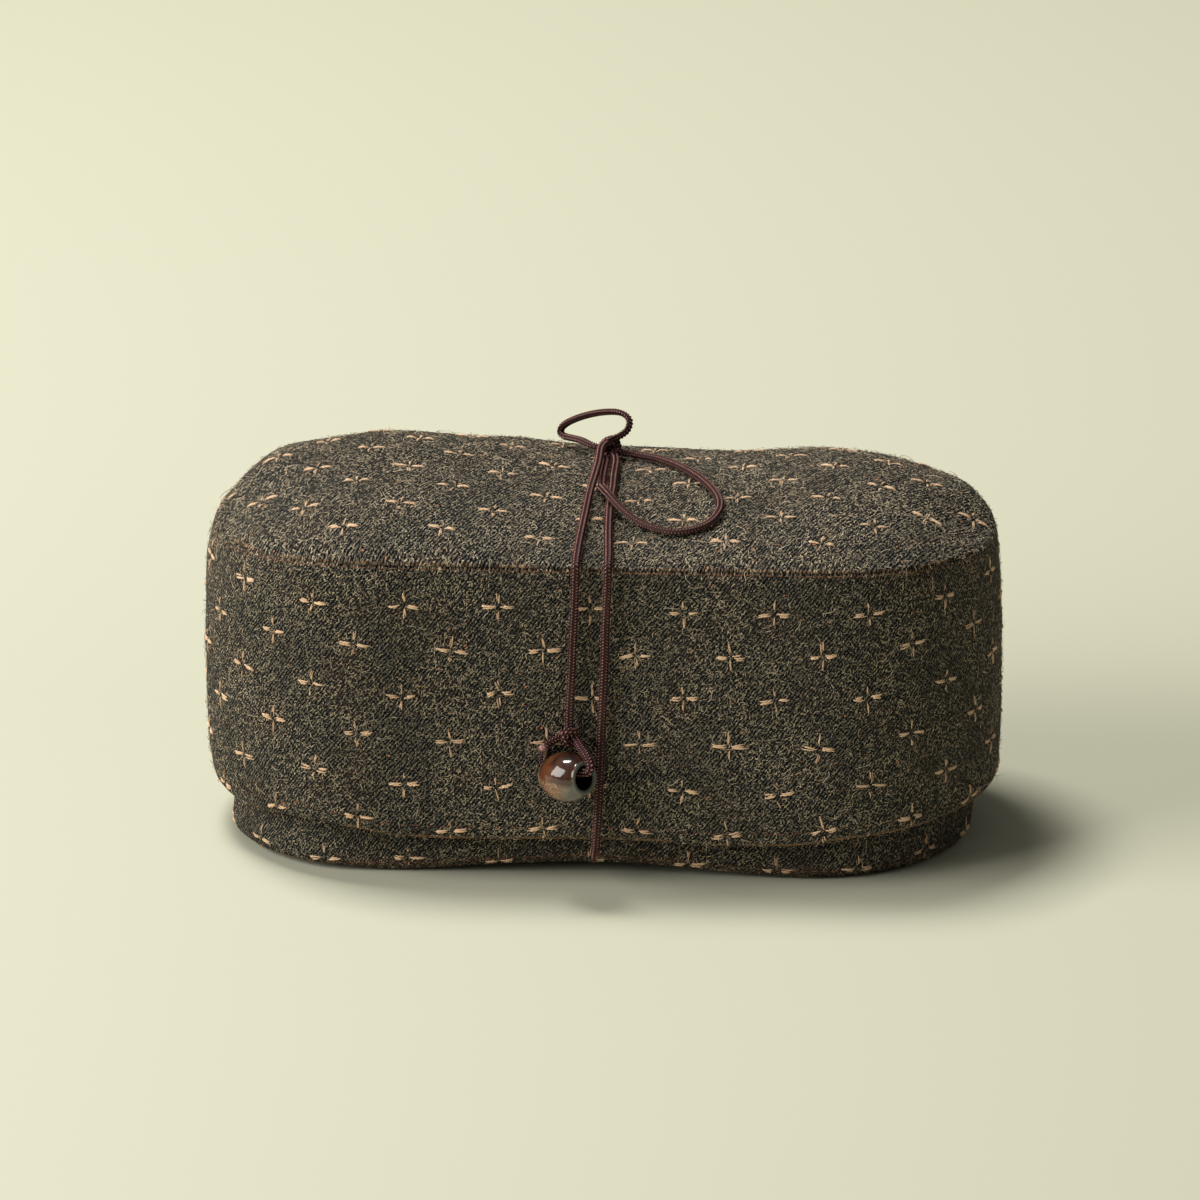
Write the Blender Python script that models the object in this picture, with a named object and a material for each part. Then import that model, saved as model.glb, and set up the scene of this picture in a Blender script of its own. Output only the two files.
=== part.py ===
"""Padded oblong case for a tea set: a base tray, a deep slip-on lid and a tied cord.

Metres, +Z up.  The origin lies on the floor under the middle of the case, +X runs
along its length and -Y is its front.  The lid slides up off the base.  The tail of
the cord lifts and swings at the front edge of the lid, and the bead turns on it.
"""
import math

import bmesh
import bpy
from mathutils import Vector

# Overall sizes
LID_WIDTH = 0.240
LID_DEPTH = 0.122
END_STRAIGHT_HALF = 0.003
SEAM_HEIGHT = 0.100
CROWN = 0.009
SKIRT_DEPTH = 0.086

# How the soft top gives way
END_DROOP = 0.004
BACK_DROOP = 0.0015
SADDLE_DEPTH = 0.003
SADDLE_HALF_WIDTH = 0.030
CROWN_POWER = 2.4

# Cloth, foam and board
OUTER_CLOTH = 0.0015
LINING = 0.0008
SKIRT_FOAM = 0.003
WALL_FOAM = 0.004
TOP_FOAM_EDGE = 0.007
BOTTOM_FOAM = 0.0022
BOARD = 0.002
HEM_THICKNESS = 0.0015
RIM_THICKNESS = 0.0015
PIPING_RADIUS = 0.0007

# Clearances
SAME_PLACE = 0.000001
GAP = 0.0003
LID_CLEARANCE = 0.0031

# Cord, knots and bead
CORD_DIAMETER = 0.0028
CHANNEL_FLAT = 0.003
CHANNEL_SLOPE = 0.036
KNOT_HALF_SIZES = (0.0040, 0.0038, 0.0024)
TAIL_KNOT_RADIUS = 0.0029
BEAD_RADIUS = 0.0075
BEAD_LENGTH = 0.0144
BEAD_END_RADIUS = 0.0046
BEAD_BORE_RADIUS = 0.0037
BEAD_MOUTH_RADIUS = 0.0042
BEAD_CENTRE = (-0.0066, -0.0697, 0.0381)
BEAD_YAW = math.radians(-40)
BEAD_TILT = math.radians(10)

# Dividers
DIVIDER_OFFSET = 0.046
DIVIDER_HEIGHT = 0.060
DIVIDER_FOAM = 0.004

# How finely round shapes are cut: counts, and shares of a half width
ARC_STEPS = 7
END_SHARES = (-1, 1)
SEAM_SHARES = (-1, -0.5, 0, 0.5, 1)
ROW_SHARES = (-1, -0.82, -0.55, -0.25, 0, 0.25, 0.55, 0.82, 1)
SLOPE_SHARES = (0, 0.33, 0.66, 1)
CORD_STEP_SHARE = 3.2
CORD_BEVEL_STEPS = 2
PIPING_SIDES = 6
BEAD_SIDES = 24
BEAD_RINGS = 10
KNOT_SEGMENTS = 12
KNOT_RINGS = 8
CLOTH_SMOOTH_ANGLE = math.radians(35)
BEAD_SMOOTH_ANGLE = math.radians(60)
KNOT_SMOOTH_ANGLE = math.radians(80)

# The plan of the lid, the insets of the layers from it, and their heights
DEPTH_HALF = LID_DEPTH / 2
CORNER_RADIUS = DEPTH_HALF - END_STRAIGHT_HALF
STRAIGHT_HALF = LID_WIDTH / 2 - CORNER_RADIUS
SKIRT_TOTAL = OUTER_CLOTH + GAP + SKIRT_FOAM + GAP + LINING
WALL_TOTAL = OUTER_CLOTH + GAP + WALL_FOAM + GAP + LINING
BASE_INSET = SKIRT_TOTAL + LID_CLEARANCE
FLOOR_INSET = BASE_INSET + OUTER_CLOTH + GAP + WALL_FOAM + GAP
CHANNEL_DEPTH = CORD_DIAMETER + 2 * GAP
HEM_BOTTOM = SEAM_HEIGHT - SKIRT_DEPTH
SKIRT_BOTTOM = HEM_BOTTOM + HEM_THICKNESS + GAP
TOP_FOAM_BOTTOM = SEAM_HEIGHT - OUTER_CLOTH - GAP - TOP_FOAM_EDGE
LID_LINING_BOTTOM = TOP_FOAM_BOTTOM - GAP - LINING
RIM_TOP = LID_LINING_BOTTOM - GAP
WALL_TOP = RIM_TOP - RIM_THICKNESS - GAP
BOARD_BOTTOM = CHANNEL_DEPTH + OUTER_CLOTH + GAP + BOTTOM_FOAM + GAP
FLOOR_LINING_BOTTOM = BOARD_BOTTOM + BOARD + GAP
FLOOR_TOP = FLOOR_LINING_BOTTOM + LINING

# Routes of the cord, chosen by hand from the photographed run
FRONT_ROUTE = [
    (0.0016, 0.0266, 0.1062), (0.0024, 0.0195, 0.1068), (0.0026, 0.0120, 0.1072),
    (0.0027, 0.0030, 0.1074), (0.0030, -0.0070, 0.1075), (0.0031, -0.0170, 0.1074),
    (0.0032, -0.0270, 0.1069), (0.0036, -0.0380, 0.1058), (0.0042, -0.0490, 0.1043),
    (0.0047, -0.0570, 0.1029), (0.0048, -0.0600, 0.1023), (0.0049, -0.0620, 0.1014),
    (0.0049, -0.0629, 0.0998), (0.0049, -0.0629, 0.0970), (0.0043, -0.0628, 0.0840),
    (0.0040, -0.0628, 0.0720), (0.0035, -0.0628, 0.0600), (0.0030, -0.0628, 0.0480),
    (0.0025, -0.0628, 0.0360), (0.0020, -0.0628, 0.0240), (0.0015, -0.0628, 0.0160),
    (0.0013, -0.0626, 0.0125), (0.0010, -0.0612, 0.0092), (0.0006, -0.0584, 0.0062),
    (0.0003, -0.0557, 0.0038),
]
UNDER_ROUTE = [
    (0.0003, -0.0554, 0.0036), (0.0002, -0.0537, 0.0023), (0.0001, -0.0512, 0.0017),
    (0.0000, -0.0400, 0.0017), (0.0000, -0.0250, 0.0017), (0.0000, -0.0080, 0.0017),
    (0.0000, 0.0080, 0.0017), (0.0000, 0.0250, 0.0017), (0.0000, 0.0400, 0.0017),
    (0.0000, 0.0512, 0.0017), (0.0000, 0.0537, 0.0023), (0.0000, 0.0554, 0.0036),
]
BACK_ROUTE = [
    (0.0000, 0.0557, 0.0038), (0.0000, 0.0584, 0.0062), (0.0000, 0.0612, 0.0092),
    (0.0000, 0.0626, 0.0125), (0.0000, 0.0628, 0.0160), (-0.0002, 0.0628, 0.0280),
    (-0.0004, 0.0628, 0.0420), (-0.0006, 0.0628, 0.0560), (-0.0008, 0.0628, 0.0700),
    (-0.0009, 0.0628, 0.0820), (-0.0010, 0.0629, 0.0930), (-0.0010, 0.0630, 0.0975),
    (-0.0010, 0.0621, 0.0998), (-0.0010, 0.0600, 0.1008), (-0.0010, 0.0545, 0.1020),
    (-0.0010, 0.0480, 0.1032), (-0.0010, 0.0410, 0.1044), (-0.0010, 0.0344, 0.1056),
]
RIGHT_LOOP_ROUTE = [
    (0.0036, 0.0293, 0.1065), (0.0082, 0.0282, 0.1063), (0.0162, 0.0205, 0.1074),
    (0.0248, 0.0065, 0.1088), (0.0314, -0.0080, 0.1095), (0.0354, -0.0205, 0.1093),
    (0.0360, -0.0295, 0.1085), (0.0332, -0.0380, 0.1073), (0.0277, -0.0420, 0.1063),
    (0.0220, -0.0424, 0.1060), (0.0137, -0.0376, 0.1065), (0.0076, -0.0312, 0.1086),
    (0.0032, -0.0235, 0.1104), (0.0006, -0.0150, 0.1099), (-0.0002, -0.0064, 0.1076),
    (-0.0005, 0.0030, 0.1074), (-0.0006, 0.0120, 0.1071), (-0.0007, 0.0195, 0.1068),
    (-0.0016, 0.0257, 0.1063),
]
LEFT_LOOP_ROUTE = [
    (-0.0052, 0.0312, 0.1079), (-0.0090, 0.0360, 0.1079), (-0.0124, 0.0410, 0.1070),
    (-0.0146, 0.0446, 0.1063), (-0.0159, 0.0463, 0.1068), (-0.0156, 0.0464, 0.1086),
    (-0.0124, 0.0444, 0.1115), (-0.0064, 0.0404, 0.1149), (-0.0004, 0.0363, 0.1171),
    (0.0036, 0.0335, 0.1175), (0.0057, 0.0317, 0.1160), (0.0053, 0.0304, 0.1136),
    (0.0033, 0.0296, 0.1119), (0.0010, 0.0285, 0.1111), (-0.0008, 0.0262, 0.1107),
]
TAIL_TOP_ROUTE = [
    (-0.0010, 0.0258, 0.1106), (-0.0019, 0.0228, 0.1107), (-0.0023, 0.0190, 0.1105),
    (-0.0023, 0.0130, 0.1103), (-0.0023, 0.0050, 0.1103), (-0.0027, -0.0070, 0.1102),
    (-0.0034, -0.0180, 0.1086), (-0.0038, -0.0300, 0.1068), (-0.0042, -0.0420, 0.1054),
    (-0.0045, -0.0520, 0.1038), (-0.0046, -0.0580, 0.1027), (-0.0046, -0.0606, 0.1022),
    (-0.0046, -0.0623, 0.1013), (-0.0046, -0.0628, 0.0993),
]
TAIL_BEND_ROUTE = [(-0.0046, -0.0628, 0.0990), (-0.0047, -0.0628, 0.0950)]
TAIL_STRAND_ROUTE = [
    (-0.0047, -0.0628, 0.0947), (-0.0050, -0.0628, 0.0870), (-0.0054, -0.0628, 0.0790),
    (-0.0057, -0.0628, 0.0710), (-0.0061, -0.0629, 0.0630), (-0.0064, -0.0632, 0.0568),
    (-0.0064, -0.0640, 0.0523),
]
BEAD_LOOP_ROUTE = [
    (-0.0042, -0.0667, 0.0486), (-0.0024, -0.0700, 0.0472), (-0.0005, -0.0734, 0.0457),
    (0.0006, -0.0754, 0.0436), (0.0002, -0.0755, 0.0418), (-0.0012, -0.0743, 0.0411),
    (-0.0040, -0.0719, 0.0404), (-0.0068, -0.0695, 0.0398), (-0.0096, -0.0672, 0.0391),
    (-0.0125, -0.0648, 0.0385), (-0.0142, -0.0634, 0.0388), (-0.0150, -0.0629, 0.0408),
    (-0.0142, -0.0628, 0.0434), (-0.0120, -0.0629, 0.0460), (-0.0094, -0.0637, 0.0481),
]
TAIL_END_ROUTE = [
    (-0.0090, -0.0666, 0.0490), (-0.0117, -0.0674, 0.0478), (-0.0144, -0.0681, 0.0459),
]
KNOT_CENTRE = (-0.0010, 0.0300, 0.1068)
TAIL_KNOT_CENTRE = (-0.0065, -0.0645, 0.0492)
LIFT_PIVOT = (-0.0046, -0.0642, 0.09915)
SWING_PIVOT = (-0.0061, -0.0628, 0.09485)

# Colour and roughness of each material
CLOTH_LOOK = ((0.075, 0.066, 0.050), 0.95)
LINING_LOOK = ((0.22, 0.18, 0.13), 0.9)
FOAM_LOOK = ((0.35, 0.34, 0.31), 0.95)
BOARD_LOOK = ((0.30, 0.24, 0.17), 0.85)
PIPING_LOOK = ((0.16, 0.075, 0.035), 0.8)
CORD_LOOK = ((0.070, 0.024, 0.022), 0.55)
BEAD_LOOK = ((0.085, 0.035, 0.018), 0.12)


def clear_scene():
    """Remove whatever the scene holds."""
    for old in list(bpy.data.objects):
        bpy.data.objects.remove(old, do_unlink=True)


def make_material(name, look):
    """A plain material in one colour."""
    colour, roughness = look
    material = bpy.data.materials.new(name)
    material.use_nodes = True
    shader = material.node_tree.nodes["Principled BSDF"]
    shader.inputs["Base Color"].default_value = (*colour, 1)
    shader.inputs["Roughness"].default_value = roughness
    shader.inputs["Metallic"].default_value = 0
    return material


def arc(centre_x, centre_y, radius, start):
    """A quarter turn of points, anticlockwise from the start angle in degrees."""
    points = []
    for step in range(ARC_STEPS + 1):
        angle = math.radians(start + 90 * step / ARC_STEPS)
        points.append((centre_x + radius * math.cos(angle), centre_y + radius * math.sin(angle)))
    return points


def outline(inset, shares=END_SHARES):
    """The case's rounded plan, set in by inset, anticlockwise from the front left.

    The straight front and back get a point at each of the shares of their half length.
    """
    radius = CORNER_RADIUS - inset
    side = END_STRAIGHT_HALF + radius
    points = [(STRAIGHT_HALF * share, -side) for share in shares]
    points += arc(STRAIGHT_HALF, -END_STRAIGHT_HALF, radius, -90)[1:]
    points += arc(STRAIGHT_HALF, END_STRAIGHT_HALF, radius, 0)
    points += [(STRAIGHT_HALF * share, side) for share in reversed(shares)][1:]
    points += arc(-STRAIGHT_HALF, END_STRAIGHT_HALF, radius, 90)[1:]
    points += arc(-STRAIGHT_HALF, -END_STRAIGHT_HALF, radius, 180)[:-1]
    return points


def channel_shares():
    """Shares along the straight front that follow the raised channel of the bottom."""
    right = [(CHANNEL_FLAT + CHANNEL_SLOPE * share) / STRAIGHT_HALF for share in SLOPE_SHARES]
    left = [-share for share in reversed(right)]
    return (-1, *left, 0, *right, 1)


def channel(x, y):
    """How far the bottom is drawn up over the cord: the same all the way from front to back."""
    share = min(max((abs(x) - CHANNEL_FLAT) / CHANNEL_SLOPE, 0), 1)
    return CHANNEL_DEPTH * (1 + math.cos(math.pi * share)) / 2


def seam(x, y):
    """Height of the top seam: it drops a little towards the ends and the back."""
    end = max(abs(x) - STRAIGHT_HALF, 0) / CORNER_RADIUS
    back = (y + DEPTH_HALF) / LID_DEPTH
    return SEAM_HEIGHT - END_DROOP * end ** 2 - BACK_DROOP * back ** 2


def top(x, y):
    """Height of the crowned top, with the saddle that the cord pulls into it."""
    beyond = max(abs(x) - STRAIGHT_HALF, 0) * DEPTH_HALF / CORNER_RADIUS
    reach = math.hypot(beyond, y) / DEPTH_HALF
    crown = max(0, 1 - reach ** CROWN_POWER)
    saddle = SADDLE_DEPTH * math.exp(-(x / SADDLE_HALF_WIDTH) ** 2)
    return seam(x, y) + crown * (CROWN - saddle)


def level(height):
    """A height that is the same everywhere."""
    return lambda x, y: height


def above(base, rise):
    """The height base(x, y), raised by rise."""
    return lambda x, y: base(x, y) + rise


def add_object(name, mesh, material, smooth_angle=CLOTH_SMOOTH_ANGLE):
    """Put a mesh into the scene under its piece's name."""
    mesh.materials.append(material)
    mesh.shade_smooth()
    mesh.set_sharp_from_angle(angle=smooth_angle)
    piece = bpy.data.objects.new(name, mesh)
    bpy.context.scene.collection.objects.link(piece)
    return piece


def mesh_from(name, build):
    """A mesh whose faces build(bm) makes, all facing out."""
    mesh = bpy.data.meshes.new(name)
    bm = bmesh.new()
    build(bm)
    bmesh.ops.recalc_face_normals(bm, faces=bm.faces)
    bm.to_mesh(mesh)
    bm.free()
    return mesh


def join_loops(bm, loops):
    """Faces between each loop and the next, and between the last and the first."""
    count = len(loops[0])
    for index, lower in enumerate(loops):
        upper = loops[(index + 1) % len(loops)]
        for place in range(count):
            after = (place + 1) % count
            bm.faces.new((lower[place], lower[after], upper[after], upper[place]))


def ring_wall(name, material, inset, thickness, low, high, shares=END_SHARES):
    """An upright wall that follows the plan, from low to high."""
    def build(bm):
        outer = outline(inset, shares)
        inner = outline(inset + thickness, shares)
        loops = []
        for plan, height in ((outer, low), (outer, high), (inner, high), (inner, low)):
            loop = []
            for (x, y), (outer_x, outer_y) in zip(plan, outer):
                loop.append(bm.verts.new((x, y, height(outer_x, outer_y))))
            loops.append(loop)
        join_loops(bm, loops)
    return add_object(name, mesh_from(name, build), material)


def ring_tube(name, material, inset, radius, height, shares):
    """A thin round welt that follows the plan at the given height."""
    def build(bm):
        plan = outline(inset, shares)
        loops = []
        for side in range(PIPING_SIDES):
            angle = 2 * math.pi * side / PIPING_SIDES
            loop = []
            moved = outline(inset - radius * math.cos(angle), shares)
            for (x, y), (middle_x, middle_y) in zip(moved, plan):
                rise = radius * math.sin(angle)
                loop.append(bm.verts.new((x, y, height(middle_x, middle_y) + rise)))
            loops.append(loop)
        join_loops(bm, loops)
    return add_object(name, mesh_from(name, build), material)


def half_outline(inset, shares):
    """The back half of the plan from the left end to the right, one point for each x."""
    columns = []
    for x, y in sorted(outline(inset, shares)):
        if columns and x - columns[-1][0] < SAME_PLACE:
            columns[-1] = (x, max(y, columns[-1][1]))
        else:
            columns.append((x, y))
    return columns


def plate(name, material, inset, low, high, shares=END_SHARES, rows=END_SHARES):
    """A closed slab over the whole plan between the heights low and high."""
    def build(bm):
        columns = half_outline(inset, shares)
        grids = []
        for height in (low, high):
            grid = []
            for x, reach in columns:
                grid.append([bm.verts.new((x, reach * row, height(x, reach * row))) for row in rows])
            grids.append(grid)
        lower, upper = grids
        last = len(rows) - 1
        for index in range(len(columns) - 1):
            for row in range(last):
                for grid in grids:
                    bm.faces.new((grid[index][row], grid[index + 1][row],
                                  grid[index + 1][row + 1], grid[index][row + 1]))
            for row in (0, last):
                bm.faces.new((lower[index][row], lower[index + 1][row],
                              upper[index + 1][row], upper[index][row]))
        for index in (0, len(columns) - 1):
            for row in range(last):
                bm.faces.new((lower[index][row], lower[index][row + 1],
                              upper[index][row + 1], upper[index][row]))
    return add_object(name, mesh_from(name, build), material)


def smooth_route(points):
    """Points along one smooth curve through the route's own points."""
    route = [Vector(point) for point in points]
    spacing = CORD_STEP_SHARE * CORD_DIAMETER
    result = [route[0]]
    for index in range(len(route) - 1):
        start = route[index]
        end = route[index + 1]
        before = route[index - 1] if index else start * 2 - end
        after = route[index + 2] if index + 2 < len(route) else end * 2 - start
        length = (end - start).length
        leave = (end - before).normalized() * length
        arrive = (after - start).normalized() * length
        steps = max(1, round(length / spacing))
        for step in range(1, steps + 1):
            t = step / steps
            towards = 3 * t ** 2 - 2 * t ** 3
            point = start.lerp(end, towards)
            result.append(point + leave * (t ** 3 - 2 * t ** 2 + t) + arrive * (t ** 3 - t ** 2))
    return result


def cord(name, material, route):
    """A stretch of the round cord along its route."""
    curve = bpy.data.curves.new(name, "CURVE")
    curve.dimensions = "3D"
    curve.bevel_depth = CORD_DIAMETER / 2
    curve.bevel_resolution = CORD_BEVEL_STEPS
    curve.use_fill_caps = True
    points = smooth_route(route)
    spline = curve.splines.new("POLY")
    spline.points.add(len(points) - 1)
    for slot, point in zip(spline.points, points):
        slot.co = (*point, 1)
    curve.materials.append(material)
    piece = bpy.data.objects.new(name, curve)
    bpy.context.scene.collection.objects.link(piece)
    return piece


def lump(name, material, centre, half_sizes):
    """A rounded knot."""
    def build(bm):
        bmesh.ops.create_uvsphere(bm, u_segments=KNOT_SEGMENTS, v_segments=KNOT_RINGS, radius=1)
        bmesh.ops.scale(bm, vec=half_sizes, verts=bm.verts)
        bmesh.ops.translate(bm, vec=centre, verts=bm.verts)
    return add_object(name, mesh_from(name, build), material, KNOT_SMOOTH_ANGLE)


def divider(side, offset, cloth_material, foam_material):
    """One padded divider: foam inside a cloth sleeve that is open below and at its ends."""
    half_depth = DEPTH_HALF - FLOOR_INSET - LINING - GAP
    foot = FLOOR_TOP + GAP
    crest = foot + DIVIDER_HEIGHT
    half_foam = DIVIDER_FOAM / 2
    inner = half_foam + GAP
    outer = inner + LINING

    def build_foam(bm):
        bmesh.ops.create_cube(bm, size=1)
        top_of_foam = crest - LINING - GAP
        bmesh.ops.scale(bm, vec=(DIVIDER_FOAM, 2 * half_depth, top_of_foam - foot), verts=bm.verts)
        bmesh.ops.translate(bm, vec=(offset, 0, (top_of_foam + foot) / 2), verts=bm.verts)

    def build_cover(bm):
        section = ((-outer, foot), (-outer, crest), (outer, crest), (outer, foot),
                   (inner, foot), (inner, crest - LINING), (-inner, crest - LINING), (-inner, foot))
        loops = []
        for y in (-half_depth, half_depth):
            loops.append([bm.verts.new((offset + x, y, z)) for x, z in section])
        front, back = loops
        count = len(section)
        for place in range(count):
            after = (place + 1) % count
            bm.faces.new((front[place], front[after], back[after], back[place]))
        bm.faces.new(front)
        bm.faces.new(back)

    add_object(f"divider_{side}_pad", mesh_from(f"divider_{side}_pad", build_foam), foam_material)
    add_object(f"divider_{side}_cover", mesh_from(f"divider_{side}_cover", build_cover), cloth_material)


def bead_profile():
    """Half section of the bead: distance along its bore and radius, outside then bore."""
    half = BEAD_LENGTH / 2
    stretch = math.sqrt(1 - (BEAD_END_RADIUS / BEAD_RADIUS) ** 2)
    profile = []
    for step in range(BEAD_RINGS + 1):
        along = -half + BEAD_LENGTH * step / BEAD_RINGS
        profile.append((along, BEAD_RADIUS * math.sqrt(1 - (along / half * stretch) ** 2)))
    flare = BEAD_MOUTH_RADIUS - BEAD_BORE_RADIUS
    profile += [(half, BEAD_MOUTH_RADIUS), (half - 2 * flare, BEAD_BORE_RADIUS),
                (-half + 2 * flare, BEAD_BORE_RADIUS), (-half, BEAD_MOUTH_RADIUS)]
    return profile


def bead(name, material):
    """The round bead with its wide bore, turned about its own axis."""
    def build(bm):
        loops = []
        for along, radius in bead_profile():
            loop = []
            for side in range(BEAD_SIDES):
                angle = 2 * math.pi * side / BEAD_SIDES
                loop.append(bm.verts.new((along, radius * math.cos(angle), radius * math.sin(angle))))
            loops.append(loop)
        join_loops(bm, loops)
    piece = add_object(name, mesh_from(name, build), material, BEAD_SMOOTH_ANGLE)
    piece.location = BEAD_CENTRE
    piece.rotation_euler = (0, -BEAD_TILT, BEAD_YAW)
    return piece


def hold(name, place, pieces):
    """Put an empty on a joint's axis to carry the pieces that move together."""
    empty = bpy.data.objects.new(name, None)
    empty.location = place
    bpy.context.scene.collection.objects.link(empty)
    for piece in pieces:
        piece.parent = empty
        piece.matrix_parent_inverse.identity()
        piece.location = piece.location - Vector(place)


def build_base(cloth, lining, foam, board, piping):
    """The tray: bottom, walls, rim and dividers."""
    shares = channel_shares()
    over_channel = above(channel, OUTER_CLOTH + GAP)
    pad_inset = BASE_INSET + OUTER_CLOTH + GAP
    plate("base_bottom_panel", cloth, BASE_INSET, channel, above(channel, OUTER_CLOTH), shares)
    plate("base_bottom_pad", foam, FLOOR_INSET, over_channel, level(BOARD_BOTTOM - GAP), shares)
    plate("base_bottom_board", board, FLOOR_INSET, level(BOARD_BOTTOM), level(BOARD_BOTTOM + BOARD))
    plate("base_floor_lining", lining, FLOOR_INSET, level(FLOOR_LINING_BOTTOM), level(FLOOR_TOP))
    ring_wall("base_side_band", cloth, BASE_INSET, OUTER_CLOTH, over_channel, level(WALL_TOP), shares)
    ring_wall("base_wall_pad", foam, pad_inset, WALL_FOAM, over_channel, level(WALL_TOP), shares)
    ring_wall("base_wall_lining", lining, FLOOR_INSET, LINING, level(FLOOR_TOP + GAP), level(WALL_TOP))
    ring_wall("base_rim_binding", cloth, BASE_INSET, WALL_TOTAL, level(WALL_TOP + GAP), level(RIM_TOP))
    ring_tube("base_piping", piping, BASE_INSET - GAP - PIPING_RADIUS, PIPING_RADIUS,
              above(channel, OUTER_CLOTH + GAP / 2), shares)
    divider("left", -DIVIDER_OFFSET, lining, foam)
    divider("right", DIVIDER_OFFSET, lining, foam)


def build_lid(cloth, lining, foam):
    """The lid: crowned top and the skirt below its seam."""
    pad_inset = OUTER_CLOTH + GAP
    lining_inset = pad_inset + SKIRT_FOAM + GAP
    skirt_top = level(TOP_FOAM_BOTTOM - GAP)
    plate("lid_top_panel", cloth, 0, above(top, -OUTER_CLOTH), top, SEAM_SHARES, ROW_SHARES)
    plate("lid_top_pad", foam, pad_inset, level(TOP_FOAM_BOTTOM), above(top, -OUTER_CLOTH - GAP),
          SEAM_SHARES, ROW_SHARES)
    plate("lid_top_lining", lining, lining_inset + LINING + GAP, level(LID_LINING_BOTTOM),
          level(TOP_FOAM_BOTTOM - GAP))
    ring_wall("lid_skirt_band", cloth, 0, OUTER_CLOTH, level(SKIRT_BOTTOM),
              above(seam, -OUTER_CLOTH - GAP), SEAM_SHARES)
    ring_wall("lid_skirt_pad", foam, pad_inset, SKIRT_FOAM, level(SKIRT_BOTTOM), skirt_top)
    ring_wall("lid_skirt_lining", lining, lining_inset, LINING, level(SKIRT_BOTTOM), skirt_top)
    ring_wall("lid_hem", cloth, 0, SKIRT_TOTAL, level(HEM_BOTTOM), level(HEM_BOTTOM + HEM_THICKNESS))


def build_cord(cord_material, bead_material):
    """The tied cord, its loops, its tail and the bead."""
    cord("cord_front_run", cord_material, FRONT_ROUTE)
    cord("cord_back_run", cord_material, BACK_ROUTE)
    cord("cord_under_run", cord_material, UNDER_ROUTE)
    lump("bow_knot", cord_material, KNOT_CENTRE, KNOT_HALF_SIZES)
    cord("bow_loop_right", cord_material, RIGHT_LOOP_ROUTE)
    cord("bow_loop_left", cord_material, LEFT_LOOP_ROUTE)
    cord("cord_tail_top", cord_material, TAIL_TOP_ROUTE)
    bend = cord("cord_tail_bend", cord_material, TAIL_BEND_ROUTE)
    strand = cord("cord_tail_strand", cord_material, TAIL_STRAND_ROUTE)
    knot = lump("tail_knot", cord_material, TAIL_KNOT_CENTRE, (TAIL_KNOT_RADIUS,) * 3)
    loop = cord("bead_loop", cord_material, BEAD_LOOP_ROUTE)
    end = cord("cord_tail_end", cord_material, TAIL_END_ROUTE)
    bead("bead", bead_material)
    hold("lift_axis", LIFT_PIVOT, [bend])
    hold("swing_axis", SWING_PIVOT, [strand, knot, loop, end])


def main():
    clear_scene()
    cloth = make_material("outer_cloth", CLOTH_LOOK)
    lining = make_material("lining", LINING_LOOK)
    foam = make_material("foam", FOAM_LOOK)
    board = make_material("board", BOARD_LOOK)
    piping = make_material("piping", PIPING_LOOK)
    cord_material = make_material("cord", CORD_LOOK)
    bead_material = make_material("bead_glaze", BEAD_LOOK)
    build_base(cloth, lining, foam, board, piping)
    build_lid(cloth, lining, foam)
    build_cord(cord_material, bead_material)


main()
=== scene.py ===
"""The look of the padded oblong tea set case: felted cloth, cross stitches, tied cord and glazed bead.

Metres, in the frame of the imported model: +X along the case, -Y its front, +Z up.
"""
import math

import bmesh
import bpy
import numpy as np
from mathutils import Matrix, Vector, noise
from mathutils.bvhtree import BVHTree


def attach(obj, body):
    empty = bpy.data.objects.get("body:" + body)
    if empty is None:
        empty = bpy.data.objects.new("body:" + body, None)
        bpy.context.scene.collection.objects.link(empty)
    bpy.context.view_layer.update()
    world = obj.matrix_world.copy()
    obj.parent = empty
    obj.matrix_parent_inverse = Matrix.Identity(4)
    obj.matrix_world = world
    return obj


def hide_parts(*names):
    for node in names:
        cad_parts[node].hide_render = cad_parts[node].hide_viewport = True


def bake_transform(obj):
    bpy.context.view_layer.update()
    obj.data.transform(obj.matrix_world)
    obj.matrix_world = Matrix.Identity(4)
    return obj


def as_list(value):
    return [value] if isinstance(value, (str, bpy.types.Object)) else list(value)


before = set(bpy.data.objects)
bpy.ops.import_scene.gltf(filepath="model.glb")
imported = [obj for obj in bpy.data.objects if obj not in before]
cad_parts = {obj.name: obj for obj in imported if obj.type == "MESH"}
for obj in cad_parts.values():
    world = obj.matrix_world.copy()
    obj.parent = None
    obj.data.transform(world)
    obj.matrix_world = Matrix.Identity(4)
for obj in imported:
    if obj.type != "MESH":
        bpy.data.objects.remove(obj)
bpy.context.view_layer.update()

# Camera: the photograph's angle, from far off
VIEW_TURN = math.radians(3.5)
VIEW_RISE = math.radians(19)
VIEW_DISTANCE = 3.5
VIEW_LENS = 347.3
VIEW_RIGHT = -0.00121
VIEW_UP = 0.06566

# Plan of the lid and the heights of the case
HALF_DEPTH = 0.061
CORNER = 0.058
STRAIGHT = 0.062
END_STRAIGHT = 0.003
SEAM_HEIGHT = 0.100
CROWN = 0.009
HEM_HEIGHT = 0.0140
BASE_INSET = 0.0090
RIM_HEIGHT = 0.0898
FLOOR_HEIGHT = 0.0108

# Step of the outer cloth's mesh, and how far beside it the cord presses the lid's wall
CLOTH_STEP = 0.0015
CORD_REACH = 0.012

# Cord
CORD_DIAMETER = 0.0028
CORD_THICKNESS = 0.0022
BRAID_COLUMNS = 6
BRAID_PITCH = 0.00093
BRAID_STEP = 0.000155
BRAID_SIDES = 40
BRAID_RELIEF = 0.00040
BEAD_SQUEEZE = 0.42
FOOT_SQUEEZE = 0.45

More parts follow.
